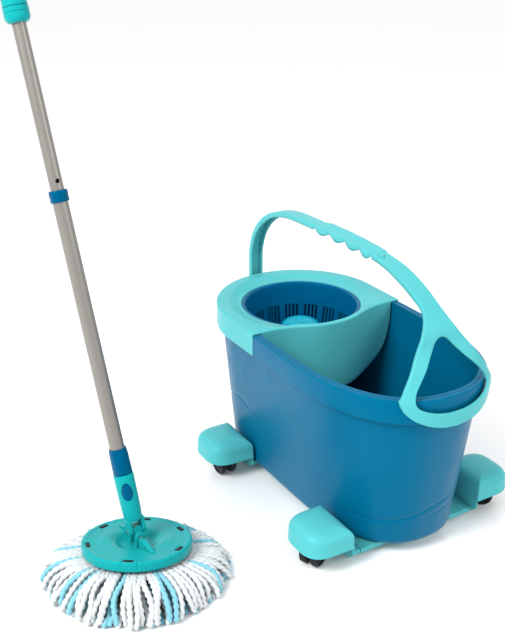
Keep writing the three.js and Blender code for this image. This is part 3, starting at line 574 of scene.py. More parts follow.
def under_arm():
    """The arm below the basket: a bar from the back wall to the apron, with a post for the spindle."""
    low_z, high_z = 162.5 - 2, 167.5
    bar, f = slab(rounded([(-111.5, -12), (104, -12), (104, 12), (-111.5, 12)], 4), 163, 168, 1)
    rear, g = slab(rounded([(-112, -12), (-108, -12), (-108, 12), (-112, 12)], 1), 165, 270, 0.5)
    post = turned(rounded([(4.4, 160), (9, 160), (9, 178), (4.4, 178)], 0.8), 40, True)
    print("arm between", low_z, high_z)
    return joined((bar, f), (rear, g), post)


add_piece("deck", deck_shell(), TURQUOISE, "deck", ["wringer_deck"], sharp=50)
add_piece("deck_arm", under_arm(), TURQUOISE, "deck")

# %% [markdown]
# ## The spin basket
# The basket is a deep bowl with slots in groups of four, so water flies out when it spins. Its wall is
# a grid whose columns run along the slots' edges. Leaving out the faces inside the slots opens them,
# and a Solidify modifier then gives the wall its thickness, slot edges included.
# %% The basket
BASKET_R, BASKET_TOP, BASKET_FLOOR, FLOOR_R = 97.4, 270.5, 186, 83.0


def basket_bowl():
    """Columns sit at each slot's two edges, close to its middle line above and below the slot and
    1.5 mm either side of it along the slot: half width = sqrt(1.5^2 - (distance past the end)^2)."""
    profile = rounded([(97.4, 266.6), (97.4, 269.6), (94.4, 269.6), (FLOOR_R, 188.6), (28, 188.6),
                       (22.6, 230), (7.8, 230)], [0, 1.5, 1.2, 5, 3, 1.5, 0], 5, False)
    wall_top, wall_low = (94, 266.0), (FLOOR_R + 0.5, 194.0)
    low_end, high_end = 196.0, 232.0
    ends = np.array([0, 0.4, 0.9, 1.5])
    stations = np.concatenate([np.linspace(264, high_end + 2, 6), high_end - ends,
                               np.linspace(high_end - 5, low_end + 5, 5), low_end + ends[::-1]])
    t = (stations - wall_low[1]) / (wall_top[1] - wall_low[1])
    wall_rows = np.column_stack([wall_low[0] + (wall_top[0] - wall_low[0]) * t, stations])
    above = profile[profile[:, 1] > 265]
    below = profile[(profile[:, 1] <= 194) | (profile[:, 0] < 30)]
    rows = np.concatenate([above, wall_rows, below])
    half = np.full(len(rows), 0.5)
    past = np.maximum(low_end + 1.5 - rows[:, 1], rows[:, 1] - high_end + 1.5).clip(0, 1.44)
    in_slot = (rows[:, 1] > low_end - 0.1) & (rows[:, 1] < high_end + 0.1) & (rows[:, 0] > 70)
    half = np.where(in_slot, np.sqrt(1.5 ** 2 - past ** 2), half)
    group = np.arange(16)[:, None] * 2 * np.pi / 16
    slot = (np.arange(4) - 1.5) * 6.6 / 87.4
    gap = np.array([0.25, 0.5, 0.75])
    first, last = slot[3], slot[0] + 2 * np.pi / 16
    columns = [(c, s) for c in slot for s in (-1, 1)] + [(first + (last - first) * g, 0) for g in gap]
    columns = np.array(columns)
    centre = (group + columns[None, :, 0]).ravel()
    sign = np.tile(columns[:, 1], 16)
    a = centre[None] + sign[None] * half[:, None] / 87.4
    grid = np.stack([rows[:, :1] * np.cos(a), rows[:, :1] * np.sin(a), rows[:, 1:] + 0 * a], -1)
    faces = grid_faces(len(rows), len(centre), False, True).reshape(len(rows) - 1, len(centre), 4)
    opens = (sign == -1)[None] & (in_slot[:-1] & in_slot[1:])[:, None]
    faces = faces[~np.broadcast_to(opens, faces.shape[:2])]
    return grid.reshape(-1, 3), faces[:, ::-1]


basket = add_piece("basket", basket_bowl(), DEEP_BLUE, "basket", ["spinner_basket"],
                   open_sheet=True, thickness=2.3, sharp=50)
cap = turned(rounded([(0, 230.3), (23.4, 230.3), (29.5, 227.3), (31, 225), (33, 225), (33, 229),
                      (30, 235.5), (22, 239.5), (11, 241), (7, 239), (0, 238.4)],
                     [0, 1, 1, .6, .6, 2, 3, 4, 2, 2, 0], 5, False), 96)
add_piece("hub_cap", cap, CAP_BLUE, "basket", ["basket_hub_cap"])
print("basket faces", len(basket.data.polygons))

# %% [markdown]
# ## The carry handle
# The handle starts as a narrow strap behind the bucket, climbs over the deck, spreads to a wide loop
# and comes down outside the nose. Its shape is one curve seen from the side, given by key points that
# also carry the half width. A smooth curve through them has no flats, as a moulded part would not.
# %% The handle's curve
LOOP_HALF, HINGE_Z = 81, 231
RIM_AT = float(nose_x(np.array(LOOP_HALF)))
LOOP_X = RIM_AT + 8.2


def handle_keys():
    keys = [(-152, 0, 12), (-152, 59, 12), (-151, 91, 12), (-139, 125, 12), (-114, 155, 12),
            (-78, 177, 12)]
    tops = [(0, 188, 12), (.225, 192, 12), (.459, 194, 12), (.669, 192, 12), (.79, 188, 12),
            (.884, 181, 13.5), (1, 166, 14)]
    keys += [(-35 + (LOOP_X - 71.6 + 35) * k, z, w) for k, z, w in tops]
    keys += [(LOOP_X - 39.6, 146, 16), (LOOP_X - 20.6, 118, 32), (LOOP_X - 12.6, 87, 55),
             (LOOP_X - 6.6, 61, 72), (LOOP_X, 44, 80), (LOOP_X + .5, 24, 81), (LOOP_X + .5, -5, 81)]
    return np.array(keys, float)


def curve_through(keys, shares):
    """Centripetal Catmull-Rom through the keys: each stretch of knots grows with sqrt(distance)."""
    p = np.concatenate([[2 * keys[0] - keys[1]], keys, [2 * keys[-1] - keys[-2]]])
    knots = np.concatenate([[0], np.cumsum(np.linalg.norm(np.diff(p[:, :2], axis=0), axis=1) ** .5)])
    at = np.clip(np.asarray(shares) * (len(keys) - 1), 0, len(keys) - 1 - 1e-9)
    i = at.astype(int)
    t = (knots[i + 1] + (knots[i + 2] - knots[i + 1]) * (at - i))[..., None]
    k = [knots[i + n][..., None] for n in range(4)]
    q = [p[i + n] for n in range(4)]

    def blend(a, b, ka, kb):
        return (a * (kb - t) + b * (t - ka)) / (kb - ka)

    a1, a2, a3 = (blend(q[n], q[n + 1], k[n], k[n + 1]) for n in range(3))
    b1, b2 = blend(a1, a2, k[0], k[2]), blend(a2, a3, k[1], k[3])
    return blend(b1, b2, k[1], k[2])


KEYS = handle_keys()


def on_handle(share, y, deep):
    """The curve at a share of its length, y to the side, pushed deep mm in from the outer face."""
    share, y, deep = np.broadcast_arrays(share, y, deep)
    here, ahead = curve_through(KEYS, share), curve_through(KEYS, np.minimum(share + 1e-4, 1))
    behind = curve_through(KEYS, np.maximum(share - 1e-4, 0))
    run = (ahead - behind)[..., :2]
    run /= np.linalg.norm(run, axis=-1)[..., None]
    x, z = here[..., 0], here[..., 1] + HINGE_Z
    over = (nose_x(y) - RIM_AT) * (1 - smoothstep(z, 277, 345)) * (x > 167)
    return np.stack([x + over + run[..., 1] * deep, y, z - run[..., 0] * deep], -1)


def half_width(share):
    return curve_through(KEYS, share)[..., 2]


length = np.linspace(0, 1, 400)
line = curve_through(KEYS, length)
print("handle runs", np.linalg.norm(np.diff(line[:, :2], axis=0), axis=1).sum().round(), "mm")


# %% [markdown]
# The front of the handle is one face with a window, so it is drawn as a ring: every point of the outer
# edge is joined by a straight line to the window's edge, seen along X. The strap's last row of points is
# the top of that ring, so the two meet exactly. The sides turn down into flanges, which is how a thin
# moulding is made stiff, and a Solidify modifier gives it a wall.
# %% The handle's shell
WINDOW = [(0, -21), (24, -19.5), (45, -15), (59, -8), (64, 1), (61, 12), (49, 27), (34, 41), (20, 56),
          (12, 66), (6, 70.5), (0, 72)]
SKIRT = [(80.2, 3), (79.4, -5), (75.5, -14.5), (66, -24.5), (48, -34), (25, -40), (0, -42)]
CUT_Z = 362.0


def mirrored(half):
    half = np.array(half, float)
    return np.concatenate([half, (half * [-1, 1])[::-1][1:]])


def share_at(z):
    """The share of the curve where its front part passes height z."""
    shares = np.linspace(0.7, 1, 900)
    heights = curve_through(KEYS, shares)[:, 1] + HINGE_Z
    return np.interp(-np.asarray(z, float), -heights, shares)


def grip_zone(share, start, end, soft=.006):
    """1 between start and end along the handle, falling to 0 within a soft distance."""
    return smoothstep(share, start - soft, start) * (1 - smoothstep(share, end, end + soft))


def side_rows(share, width):
    """Across the strap: flange, rounded edge, crowned face, and the same again on the other side.
    At the grip the near flange is scalloped for four fingers and the far half of the face is raised."""
    deep = 9 - 3 * smoothstep(share, .6, .75)
    v = np.concatenate([[-1, -1, -1, -1, -.97, -.93], np.linspace(-.85, .85, 9), [.93, .97, 1, 1, 1, 1]])
    d = np.concatenate([[1, .66, .33, .14, .04, 0.01], np.zeros(9), [0.01, .04, .14, .33, .66, 1]])
    inset = np.concatenate([[.6, .5, .3, .1, 0, 0], np.zeros(9), [0, 0, .1, .3, .5, .6]])
    y = v[None] * width[:, None] - np.sign(v)[None] * inset[None]
    fingers = grip_zone(share, .375, .487)[:, None]
    wave = np.abs(np.sin((share[:, None] - .375) / .112 * 4 * np.pi))
    near, far = (v < -.9)[None], smoothstep(v, -.1, .05)[None]
    depth = d[None] * deep[:, None] * (1 + .75 * fingers * (wave - .45) * near)
    y = y + near * fingers * (2.2 * (1 - wave) - 1.2)
    raised = grip_zone(share, .385, .495, .003)[:, None] * far * (1.8 + .5 * wave)
    step = .8 * np.exp(-((share[:, None] - .523) / .0022) ** 2) + .8 * np.exp(
        -((share[:, None] - .372) / .0018) ** 2)
    return on_handle(share[:, None], y, depth - raised * (d < .1)[None] + step)


def thumb_lug():
    """A small three-sided lug on the face, just ahead of the grip."""
    p, f = slab(rounded([(-7, -5), (8, -4), (-3, 6)], 1.2), 0, 2.2, .7)
    spot = on_handle(np.array(.508), np.array(-2.0), np.array(0.0))
    ahead = on_handle(np.array(.511), np.array(-2.0), np.array(0.0)) - spot
    ahead /= np.linalg.norm(ahead)
    return seen_from(p - [0, 0, .4], ahead, (0, 1, 0), np.cross(ahead, (0, 1, 0)), spot), f


def handle_shell():
    cut = float(share_at(CUT_Z))
    share = np.concatenate([np.linspace(0, .36, 60), np.linspace(.36, .54, 120)[1:-1],
                            np.linspace(.54, cut, 40)])
    strap = side_rows(share, half_width(share))
    columns = strap.shape[1]
    parts = [(strap, grid_faces(len(share), columns))]
    faces_only = strap[-1, 6:-6][:, 1:]
    start_half = float(half_width(np.array(cut)))
    drop = np.linspace(CUT_Z, 283, 30)
    sides = np.column_stack([half_width(share_at(drop)), drop])
    skirt = rounded(np.array(SKIRT, float) + [0, RIM_Z], 9, 5, False)
    half = np.concatenate([sides, skirt])
    edge = np.concatenate([half, (half * [-1, 1])[::-1][1:]])
    run = np.gradient(edge, axis=0)
    inward = np.column_stack([run[:, 1], -run[:, 0]]) / np.linalg.norm(run, axis=1)[:, None]
    inward[0], inward[-1] = (-1, 0), (1, 0)
    rim = []
    for v, deep, inset in ((.93, .01, 0), (.97, .04, 0), (1, .14, .1), (1, .33, .3), (1, .66, .5), (1, 1, .6)):
        at = edge + inward * ((1 - v) * start_half + inset)
        share_here = share_at(edge[:, 1])
        full = 9 - 3 * smoothstep(share_here, .6, .75)
        rim.append(on_handle(share_here, at[:, 0], deep * full))
        if v == .93:
            outer = np.concatenate([at, faces_only])
            outer_share = np.concatenate([share_here, np.full(len(faces_only), cut)])
    fine = rounded(mirrored(WINDOW)[:-1], 7, 6)
    centre = np.array([0, 18.0])
    turn = np.unwrap(np.arctan2(*(fine - centre).T[::-1]))
    order = np.argsort(turn)
    reach = np.linalg.norm(fine - centre, axis=1)
    out_turn = np.arctan2(*(outer - centre - [0, RIM_Z]).T[::-1])
    low_turn = turn.min()
    wrapped = (out_turn - low_turn) % (2 * np.pi) + low_turn
    r = np.interp(wrapped, np.append(turn[order], turn[order][0] + 2 * np.pi),
                  np.append(reach[order], reach[order][0]))
    inner = centre + [0, RIM_Z] + r[:, None] * np.column_stack([np.cos(wrapped), np.sin(wrapped)])
    steps = np.array([0, 0, .04, .12, .25, .4, .55, .7, .85, .95, 1])
    sunk = np.array([4.5, 1.2, .3, 0, 0, 0, 0, 0, 0, 0, 0])
    flat = inner[None] + (outer - inner)[None] * steps[:, None, None]
    shares = share_at(flat[..., 1])
    shares[-1] = outer_share
    front = on_handle(shares, flat[..., 0], sunk[:, None])
    front[-1, :len(edge)] = rim[0]
    front[-1, len(edge):] = strap[-1, 6:-6]
    parts.append((front, grid_faces(len(steps), len(outer), False, True)))
    parts.append((np.stack(rim), grid_faces(len(rim), len(edge))))
    print("ring of", len(outer), "points, cut at share", round(cut, 3))
    return joined(*parts)


add_piece("carry_handle", handle_shell(), TURQUOISE, "handle", ["carry_handle"],
          thickness=2.2, sharp=50)
add_piece("thumb_lug", thumb_lug(), TURQUOISE, "handle")

# %% [markdown]
# ## Casters
# Each caster hides under a D-shaped cover with a large soft top. The twin wheels have a shallow dish on
# the outer side and two grooves round the tread. Each wheel is turned about its own axle, and the roll
# joints say where the axles are and which way they point.
# %% Caster covers and wheels
COVER_HALF, COVER_IN, COVER_OUT, COVER_LOW, COVER_TOP = 43, 116, 190, 33, 69.5


def cover_plan(inset):
    corners = [(-COVER_HALF + inset, COVER_IN + inset), (COVER_HALF - inset, COVER_IN + inset),
               (COVER_HALF - inset, COVER_OUT - inset), (-COVER_HALF + inset, COVER_OUT - inset)]
    r = max(36 - inset, 3)
    return rounded(corners, [2.5, 2.5, r, r], 12)


def caster_cover():
    a = np.linspace(0, 1.35, 11)
    levels = [(1.0, COVER_LOW), (0, COVER_LOW + .4), (0, COVER_LOW + 2.6), (.5, COVER_LOW + 3.4)]
    levels += [(.7, COVER_TOP - 19)]
    levels += [(.7 + 19 * (1 - math.cos(t)), COVER_TOP - 19 + 17 * math.sin(t)) for t in a[1:]]
    levels += [(24, COVER_TOP - .9)]
    rows = []
    for inset, z in levels:
        plan = cover_plan(min(inset, 30))
        rows.append(np.column_stack([plan, np.full(len(plan), z)]))
    rows.append(np.repeat([[0, 150, COVER_TOP - .2]], len(rows[0]), 0))
    grid = np.stack(rows)
    return grid, grid_faces(len(rows), grid.shape[1], False, True)


def cover_inside():
    foot = slab(rounded([(-30, 96.4), (30, 96.4), (30, 118), (-30, 118)], 2.5), 9, 16.4, 1)
    web, g = slab(rounded([(-41, 20), (-30, 9.5), (30, 9.5), (41, 20), (41, 36), (-41, 36)], 3), 116.1,
                  118.4, .6)
    web = np.column_stack([web[:, 0], web[:, 2], web[:, 1]])
    boss = turned(rounded([(5.5, 44.2), (9, 44.2), (9, 59), (5.5, 59)], .8), 32, True)
    p, f = boss
    return joined(foot, (web, g), (p + [0, 154, 0], f))


def wheel(side):
    h = rounded([(3.4, 0), (17.4, 0), (19, 1.6), (19, 3), (18.4, 3.3), (18.4, 3.9), (19, 4.2), (19, 5.6),
                 (18.4, 5.9), (18.4, 6.5), (19, 6.8), (19, 8), (17, 9.9), (14.6, 9.9), (13.6, 7.9),
                 (8.6, 7.9), (7.8, 9.6), (5, 9.8), (3.4, 8.6)],
                [0, 1, 1, .2, .2, .2, .2, .2, .2, .2, .2, .8, 1.4, .5, .5, .5, .5, .8, 0], 3)
    p, f = turned(h, 48, True)
    return p + [0, 0, 4.6], f, side


CORNERS = {"rear_near": (2, -1), "rear_far": (2, 1), "front_near": (288, -1), "front_far": (288, 1)}
for where, (x, way) in CORNERS.items():
    for kind, make in (("cover", caster_cover), ("cover_inside", cover_inside)):
        p, f = make()
        p = np.asarray(p).reshape(-1, 3) * [way, way, 1] + [x, 0, 0]
        replaced = [f"caster_arm_{where}"] if kind == "cover" else ()
        add_piece(f"caster_{kind}_{where}", (p, f), TURQUOISE, "trolley", replaced,
                  thickness=2.2 if kind == "cover" else 0, sharp=50)
    roll = joints[f"roll_{where}"]
    for letter, way in (("a", 1), ("b", -1)):
        p, f, _ = wheel(way)
        out = np.array(roll["axis"]) * way
        up = np.array([0, 0, 1.0])
        points = seen_from(p, np.cross(up, out), up, out, from_frame(roll["pos_m"]))
        add_piece(f"caster_wheel_{letter}_{where}", (points, f), BLACK, f"wheels_{where}",
                  [f"caster_wheel_{letter}_{where}"], sharp=50)
print("casters done")

# %% [markdown]
# ## The mop head
# The disc is turned, then dented where its slots are. It leans with the floor plate, so it is drawn flat
# and seen from the plate's own directions. The two ribs beside the joint are arches cut from a
# thick sheet.
# %% The mop plate
LOOK, PLATE_TILT = math.radians(59.67), math.radians(11.5)
PLATE_UP = np.array([-math.sin(LOOK) * math.sin(PLATE_TILT), math.cos(LOOK) * math.sin(PLATE_TILT),
                     math.cos(PLATE_TILT)])
PLATE_X = np.array(joints["plate_tip"]["axis"])
PLATE_Y = np.cross(PLATE_UP, PLATE_X)
PIVOT = from_frame(joints["plate_tip"]["pos_m"])
CLIPS = [(70 * math.cos(math.radians(t)), 70 * math.sin(math.radians(t)))
         for t in (-160, 145, 90, 33, -34, -105)]
CUTS = np.radians([-82, -40, -24, 13, 25, 60, 110, 160, -175, -130])


def on_plate(points):
    return seen_from(points, PLATE_X, PLATE_Y, PLATE_UP, PIVOT)


def mop_plate():
    """Turned profile with dents: height - depth exp(-(radial^4 + sideways^4)) at each slot."""
    profile = rounded([(73, -18), (73, -21), (79, -21), (79, -7), (72, -7), (70, -7.8), (50, -7.8),
                       (34, -7.6), (23, -15.5), (0, -15.5)],
                      [0, .6, 2, 4, 1, 1, 0, 6, 5, 0], 6, False)
    extra = np.linspace(69, 40, 22)
    at = np.argmax(profile[:, 0] < 69.3)
    profile = np.concatenate([profile[:at], np.column_stack([extra, np.full(22, -7.8)]),
                              profile[at:][profile[at:, 0] < 40]])
    profile = np.concatenate([[[0, -18]], profile])
    p, f = turned(profile, 300)
    top = p[:, 2] > -9.5
    r, a = np.hypot(p[:, 0], p[:, 1]), np.arctan2(p[:, 1], p[:, 0])
    for x, y in CLIPS:
        d = math.hypot(x, y)
        out = (p[:, 0] * x + p[:, 1] * y) / d
        across = (p[:, 1] * x - p[:, 0] * y) / d
        dent = np.exp(-(((out - d) / 4.5) ** 6 + (across / 8) ** 6))
        p[:, 2] -= 1.8 * dent * top
    for turn in CUTS:
        away = (a - turn + np.pi) % (2 * np.pi) - np.pi
        notch = np.exp(-((away * 77 / 1.1) ** 4)) * (p[:, 2] > -16) * (r > 74)
        p[:, 0] -= 1.6 * notch * np.cos(a)
        p[:, 1] -= 1.6 * notch * np.sin(a)
        p[:, 2] -= 1.0 * notch * top
    swell = np.exp(-(((r - 45) / 8) ** 4)) * (np.cos(2 * (a - .9)) > 0) * np.cos(2 * (a - .9)) ** 2
    p[:, 2] += 1.4 * swell * top
    return on_plate(p), f


def ribs():
    parts = []
    lug = [(-7, -16), (-7, 0)] + [(-7 * math.cos(t), 7 * math.sin(t))
                                  for t in np.linspace(0, np.pi, 15)[1:-1]] + [(7, 0), (7, -16)]
    for way in (-1, 1):
        p, f = slab(rounded(lug, .3, 2), 7.6, 12.4, .7)
        parts.append((np.column_stack([way * p[:, 2], p[:, 0] * way, p[:, 1]]), f))
        outline = rounded([(12.6, -16), (12.6, -1.6), (25, 1), (40, -2.2), (54.8, -6.6), (54.8, -8.4),
                           (33, -8.4), (25, -16)], [0, 3, 8, 8, 1, 0, 0, 0], 6)
        p, f = slab(outline, -3.9, 3.9, 1.6)
        parts.append((np.column_stack([way * p[:, 0], p[:, 2], p[:, 1]]), f))
    p, f = joined(*parts)
    return on_plate(p), f


def clips():
    """Each clip is a short arc of a ring: a slab whose two long sides follow the rim."""
    parts = []
    for x, y in CLIPS:
        d, at = math.hypot(x, y), math.atan2(y, x)
        arc = np.linspace(-7, 7, 9) / d + at
        outer = [(math.cos(t) * (d + 2.6), math.sin(t) * (d + 2.6)) for t in arc]
        inner = [(math.cos(t) * (d - 2.6), math.sin(t) * (d - 2.6)) for t in arc[::-1]]
        parts.append(slab(outer + inner, -9.8, -7.6, .5))
    p, f = joined(*parts)
    return on_plate(p), f


add_piece("mop_plate", mop_plate(), TEAL, "mop_head", ["mop_plate"], sharp=50)
add_piece("plate_ribs", ribs(), TEAL, "mop_head")
add_piece("slot_clips", clips(), BLACK, "mop_head")

# %% [markdown]
# The yarn is a few hundred loose ends of two-ply cotton. One formula draws them all at once: each end
# leaves the plate, runs out and falls to the floor, and its round section is pinched twice and turned
# along its length, which is what two twisted plies look like. A seeded generator varies them.
# %% The yarn
random = np.random.default_rng(7)
YARN_SEAT = PIVOT + PLATE_UP * -25.3
LEAN = LOOK + math.pi / 2
LAYERS = [(66, 1.0, 8, 1.0, 100, .96, 119, .8, 131, .5, 137, .18),
          (62, .62, 84, .66, 100, .60, 114, .46, 126, .3, 135, .16),
          (60, .3, 80, .32, 96, .3, 110, .24, 122, .2, 131, .16)]


def yarn():
    """Radius r(s) and height share h(s) follow a layer's keys; section radius =
    4.2 (0.86 + 0.14 cos(2 around - 2 pi along / pitch)); ends are closed by a quarter round."""
    counts, rows, sides = (84, 76, 56), 46, 8
    pieces, dyes = [], []
    for layer, (keys, count) in enumerate(zip(LAYERS, counts)):
        keys = np.array(keys, float).reshape(-1, 2)
        keys[1, 0] = 84 if layer == 0 else keys[1, 0]
        s = np.concatenate([[0, .004, .012], np.linspace(.03, .96, rows - 7), [.975, .987, .996, 1]])
        base = curve_through(np.column_stack([keys, np.zeros(len(keys))]), s)
        a0 = (np.arange(count) + random.uniform(-.28, .28, count)) * 2 * np.pi / count + layer * .3
        reach = random.uniform(.94, 1.02, count) * (1 - .22 * smoothstep(np.cos(a0 - LEAN), -.15, .85)
                                                    - .03 * smoothstep(-np.cos(a0 - LEAN), .2, 1))
        reach = reach[:, None]
        r = base[:, 0] * (1 + (reach - 1) * s ** 2)
        sway = random.normal(0, .035, count)[:, None] * s ** 1.5
        wave = random.uniform(.01, .03, count)[:, None] * np.sin(
            random.uniform(5, 9, count)[:, None] * s + random.uniform(0, 6, count)[:, None])
        a = a0[:, None] + sway + wave
        x, y = r * np.cos(a), r * np.sin(a)
        tilt = -(PLATE_UP[0] * x + PLATE_UP[1] * y) / PLATE_UP[2] * np.minimum(1, 90 / r)
        lift = random.uniform(-1.6, .8, count)[:, None] * smoothstep(s, .15, .4)
        z = base[:, 1] * (YARN_SEAT[2] + tilt) - 4.6 + lift
        z = np.maximum(z, 4.5 + random.uniform(0, 1.2, count)[:, None])
        path = np.stack([x + YARN_SEAT[0], y + YARN_SEAT[1], z], -1)
        step = np.gradient(path, axis=1)
        along = step / np.linalg.norm(step, axis=-1, keepdims=True)
        across = np.cross(along, [0, 0, 1.0])
        across /= np.linalg.norm(across, axis=-1, keepdims=True)
        over = np.cross(across, along)
        travel = np.cumsum(np.linalg.norm(step, axis=-1), axis=1)
        around = np.arange(sides) * 2 * np.pi / sides
        pitch = random.uniform(17, 20, count)[:, None, None]
        lobe = .82 + .18 * np.cos(2 * around - 4 * np.pi * travel[..., None] / pitch)
        taper = np.sqrt(np.clip(np.minimum(s / .02, (1 - s) / .035), 0, 1)) * .999 + .001
        thick = random.uniform(4.3, 5.0, count)[:, None, None] * lobe * taper[None, :, None]
        ring = across[:, :, None] * np.cos(around)[:, None] + over[:, :, None] * np.sin(around)[:, None]
        points = path[:, :, None] + ring * thick[..., None]
        points[..., 2] = np.maximum(points[..., 2], .4)
        grid = grid_faces(len(s), sides, False, True)
        each = len(s) * sides
        faces = (grid[None] + np.arange(count)[:, None, None] * each).reshape(-1, 4)
        pieces.append((points, faces))
        chance = random.random(count)
        dark, aqua = ((.0, .12), (.08, .34), (.3, .4))[layer]
        dye = np.where(chance < dark, 1.0, np.where(chance < dark + aqua, .5, 0.0))
        dyes.append(np.column_stack([np.repeat(dye, each), np.tile(np.repeat(s, sides), count)]))
    return joined(*pieces), np.concatenate(dyes)


def cotton():
    paint = Paint("cotton_yarn", Roughness=0.9, Specular_IOR_Level=0.25)
    paint.feed("Sheen Weight", 0.25)
    split = paint.node("ShaderNodeSeparateXYZ", {}, {0: paint.node("ShaderNodeUVMap").outputs[0]})
    dye = Value(paint, split.outputs[0])
    fuzz = paint.noise(1400, 4)
    white = paint.mix(fuzz, srgb("b9bfc1"), srgb("dfe2e2"))
    aqua = paint.mix(fuzz, srgb("5fa9bd"), srgb("92cddb"))
    dark = paint.mix(fuzz, srgb("3a7893"), srgb("6ba1b6"))
    light = paint.mix((dye * 2).clamped(0, 1), white, aqua)
    paint.feed("Base Color", paint.mix((dye * 2 - 1).clamped(0, 1), light, dark))
    paint.bump(fuzz, 0.0006, 0.8)
    return paint.material


(shape, dye) = yarn()
COTTON = cotton()
strands = add_piece("yarn", shape, COTTON, "mop_head", ["yarn_skirt"], uv=dye, sharp=180)
print("yarn faces", len(strands.data.polygons))

# %% [markdown]
# ## The pole
# Everything on the pole is turned about the pole's own line, so it is drawn upright at the upper pin and
# then seen from the pole's directions.
# %% Pierced tubes
CROSS_Y = np.array(joints["pole_tip"]["axis"])
POLE_X = np.cross(CROSS_Y, POLE_UP)
POLE_FOOT = from_frame(joints["pole_tip"]["pos_m"])


def on_pole(shape):
    points, faces = shape
    return seen_from(points, POLE_X, CROSS_Y, POLE_UP, POLE_FOOT), faces


def pierced_wall(radius, z, hole, middle, half_angle, z_span, columns=96):
    """A wall turned about Z with a hole in it. Columns of the wall that fall in a window are left
    out, and a ring of faces joins the window's edge to the hole's outline, point for point."""
    a = np.linspace(0, 2 * np.pi, columns, endpoint=False) + middle
    grid = np.stack([radius[:, None] * np.cos(a), radius[:, None] * np.sin(a), z[:, None] + 0 * a], -1)
    faces = grid_faces(len(z), columns, False, True).reshape(len(z) - 1, columns, 4)
    k = int(round(half_angle / (2 * np.pi) * columns))
    i0, i1 = np.searchsorted(z, z_span[0]), np.searchsorted(z, z_span[1])
    keep = np.ones(faces.shape[:2], bool)
    inside = np.r_[0:k, columns - k:columns]
    keep[i0:i1][:, inside] = False
    right = [(i, k) for i in range(i0, i1)]
    top = [(i1, j) for j in range(k, -k, -1)]
    left = [(i, -k) for i in range(i1, i0, -1)]
    low = [(i0, j) for j in range(-k, k)]
    loop = np.array(right + top + left + low)
    turn = loop[:, 1] * 2 * np.pi / columns
    edge = np.column_stack([turn * np.interp(z[loop[:, 0]], z, radius), z[loop[:, 0]]])
    centre = hole.mean(0)
    at = np.arctan2(hole[:, 1] - centre[1], hole[:, 0] - centre[0]) % (2 * np.pi)
    order = np.argsort(at)
    reach = np.linalg.norm(hole - centre, axis=1)[order]
    want = np.arctan2(edge[:, 1] - centre[1], edge[:, 0] - centre[0]) % (2 * np.pi)
    r = np.interp(want, at[order], reach, period=2 * np.pi)
    inner = centre + r[:, None] * np.column_stack([np.cos(want), np.sin(want)])
    rows = []
    for share, sunk in ((0, 0), (.5, 0), (.9, 0), (1, .25), (1, 2.0)):
        flat = edge + (inner - edge) * share
        rad = np.interp(flat[:, 1], z, radius)
        ang = flat[:, 0] / rad + middle
        rows.append(np.column_stack([rad * np.cos(ang) - sunk * math.cos(middle),
                                     rad * np.sin(ang) - sunk * math.sin(middle), flat[:, 1]]))
    ring = grid_faces(5, len(loop), False, True)
    return joined((grid, faces[keep]), (np.stack(rows), ring))


def egg(grow, count=48):
    """The button's outline: an ellipse a little narrower at the top."""
    a = np.linspace(0, 2 * np.pi, count, endpoint=False)
    return np.column_stack([(7.4 * (1 - .14 * np.sin(a)) + grow) * np.cos(a), 61 + (12.5 + grow) * np.sin(a)])


FACE = math.radians(69 - 90)

# %% [markdown]
# The socket's tapered wall is pierced for the release button, and ends below in a fork round the upper
# pin. The button is a shallow dome with a raised line round it, drawn on the same egg outline.
# %% Socket and button
def socket_shape():
    z = np.concatenate([[15.2, 15.6, 16.6], np.linspace(19, 41, 7), np.linspace(43, 79, 15), [81, 83.5, 84.6]])
    r = np.interp(z, [15, 15.6, 17, 28, 46, 82, 84, 85], [10.8, 12, 12.8, 13.8, 14.2, 14.4, 14.2, 13.4])
    wall = pierced_wall(r, z, egg(.45), FACE, math.radians(41), (45, 77))
    top = turned([(13.4, 84.6), (12.6, 85), (10.4, 85), (10.4, 77)], 96)
    low = turned([(0, 15), (9.9, 15), (10.9, 15.2)], 96)
    arm = [(-8.4, 19), (-9, 1)] + [(9 * math.cos(t), 1 + 9 * math.sin(t))
                                   for t in np.linspace(np.pi, 2 * np.pi, 19)[1:-1]] + [(9, 1), (8.4, 19)]
    parts = [wall, top, low]
    for side_y in (7.3, -12.9):
        p, f = slab(rounded(arm, .3, 2), 0, 5.6, .9)
        parts.append((np.column_stack([p[:, 0], p[:, 2] + side_y, p[:, 1]]), f))
    return on_pole(joined(*parts))


def button_shape():
    rows = []
    outline = egg(0)
    for share, out in ((1, 10.2), (1, 14.2), (.985, 14.9), (.95, 15.3), (.88, 15.3), (.84, 14.9), (.8, 15),
                       (.6, 15.5), (.4, 15.8), (.2, 15.95), (0, 16)):
        flat = (outline - [0, 61]) * share + [0, 61]
        turn = flat[:, 0] / 14.4
        ahead, aside = out * np.cos(turn), 14.4 * np.sin(turn)
        rows.append(np.column_stack([ahead * math.cos(FACE) - aside * math.sin(FACE),
                                     ahead * math.sin(FACE) + aside * math.cos(FACE), flat[:, 1]]))
    return on_pole((np.stack(rows), grid_faces(len(rows), len(outline), False, True)))


add_piece("mop_socket", socket_shape(), TEAL, "socket", ["mop_socket"], sharp=50)
add_piece("release_button", button_shape(), MOP_BLUE, "button", ["release_button"])

# %% [markdown]
# The sleeve, tubes, twist collar, lock ring, grip and end cap are profiles turned about the pole. Small
# grooves and rounded lips come from the profile itself, so they catch the light as real edges do.
# %% Tubes, collar and grip
def on_pole_turned(profile, radii, turns=72, closed=False):
    return on_pole(turned(rounded(profile, radii, 4, closed), turns, closed))


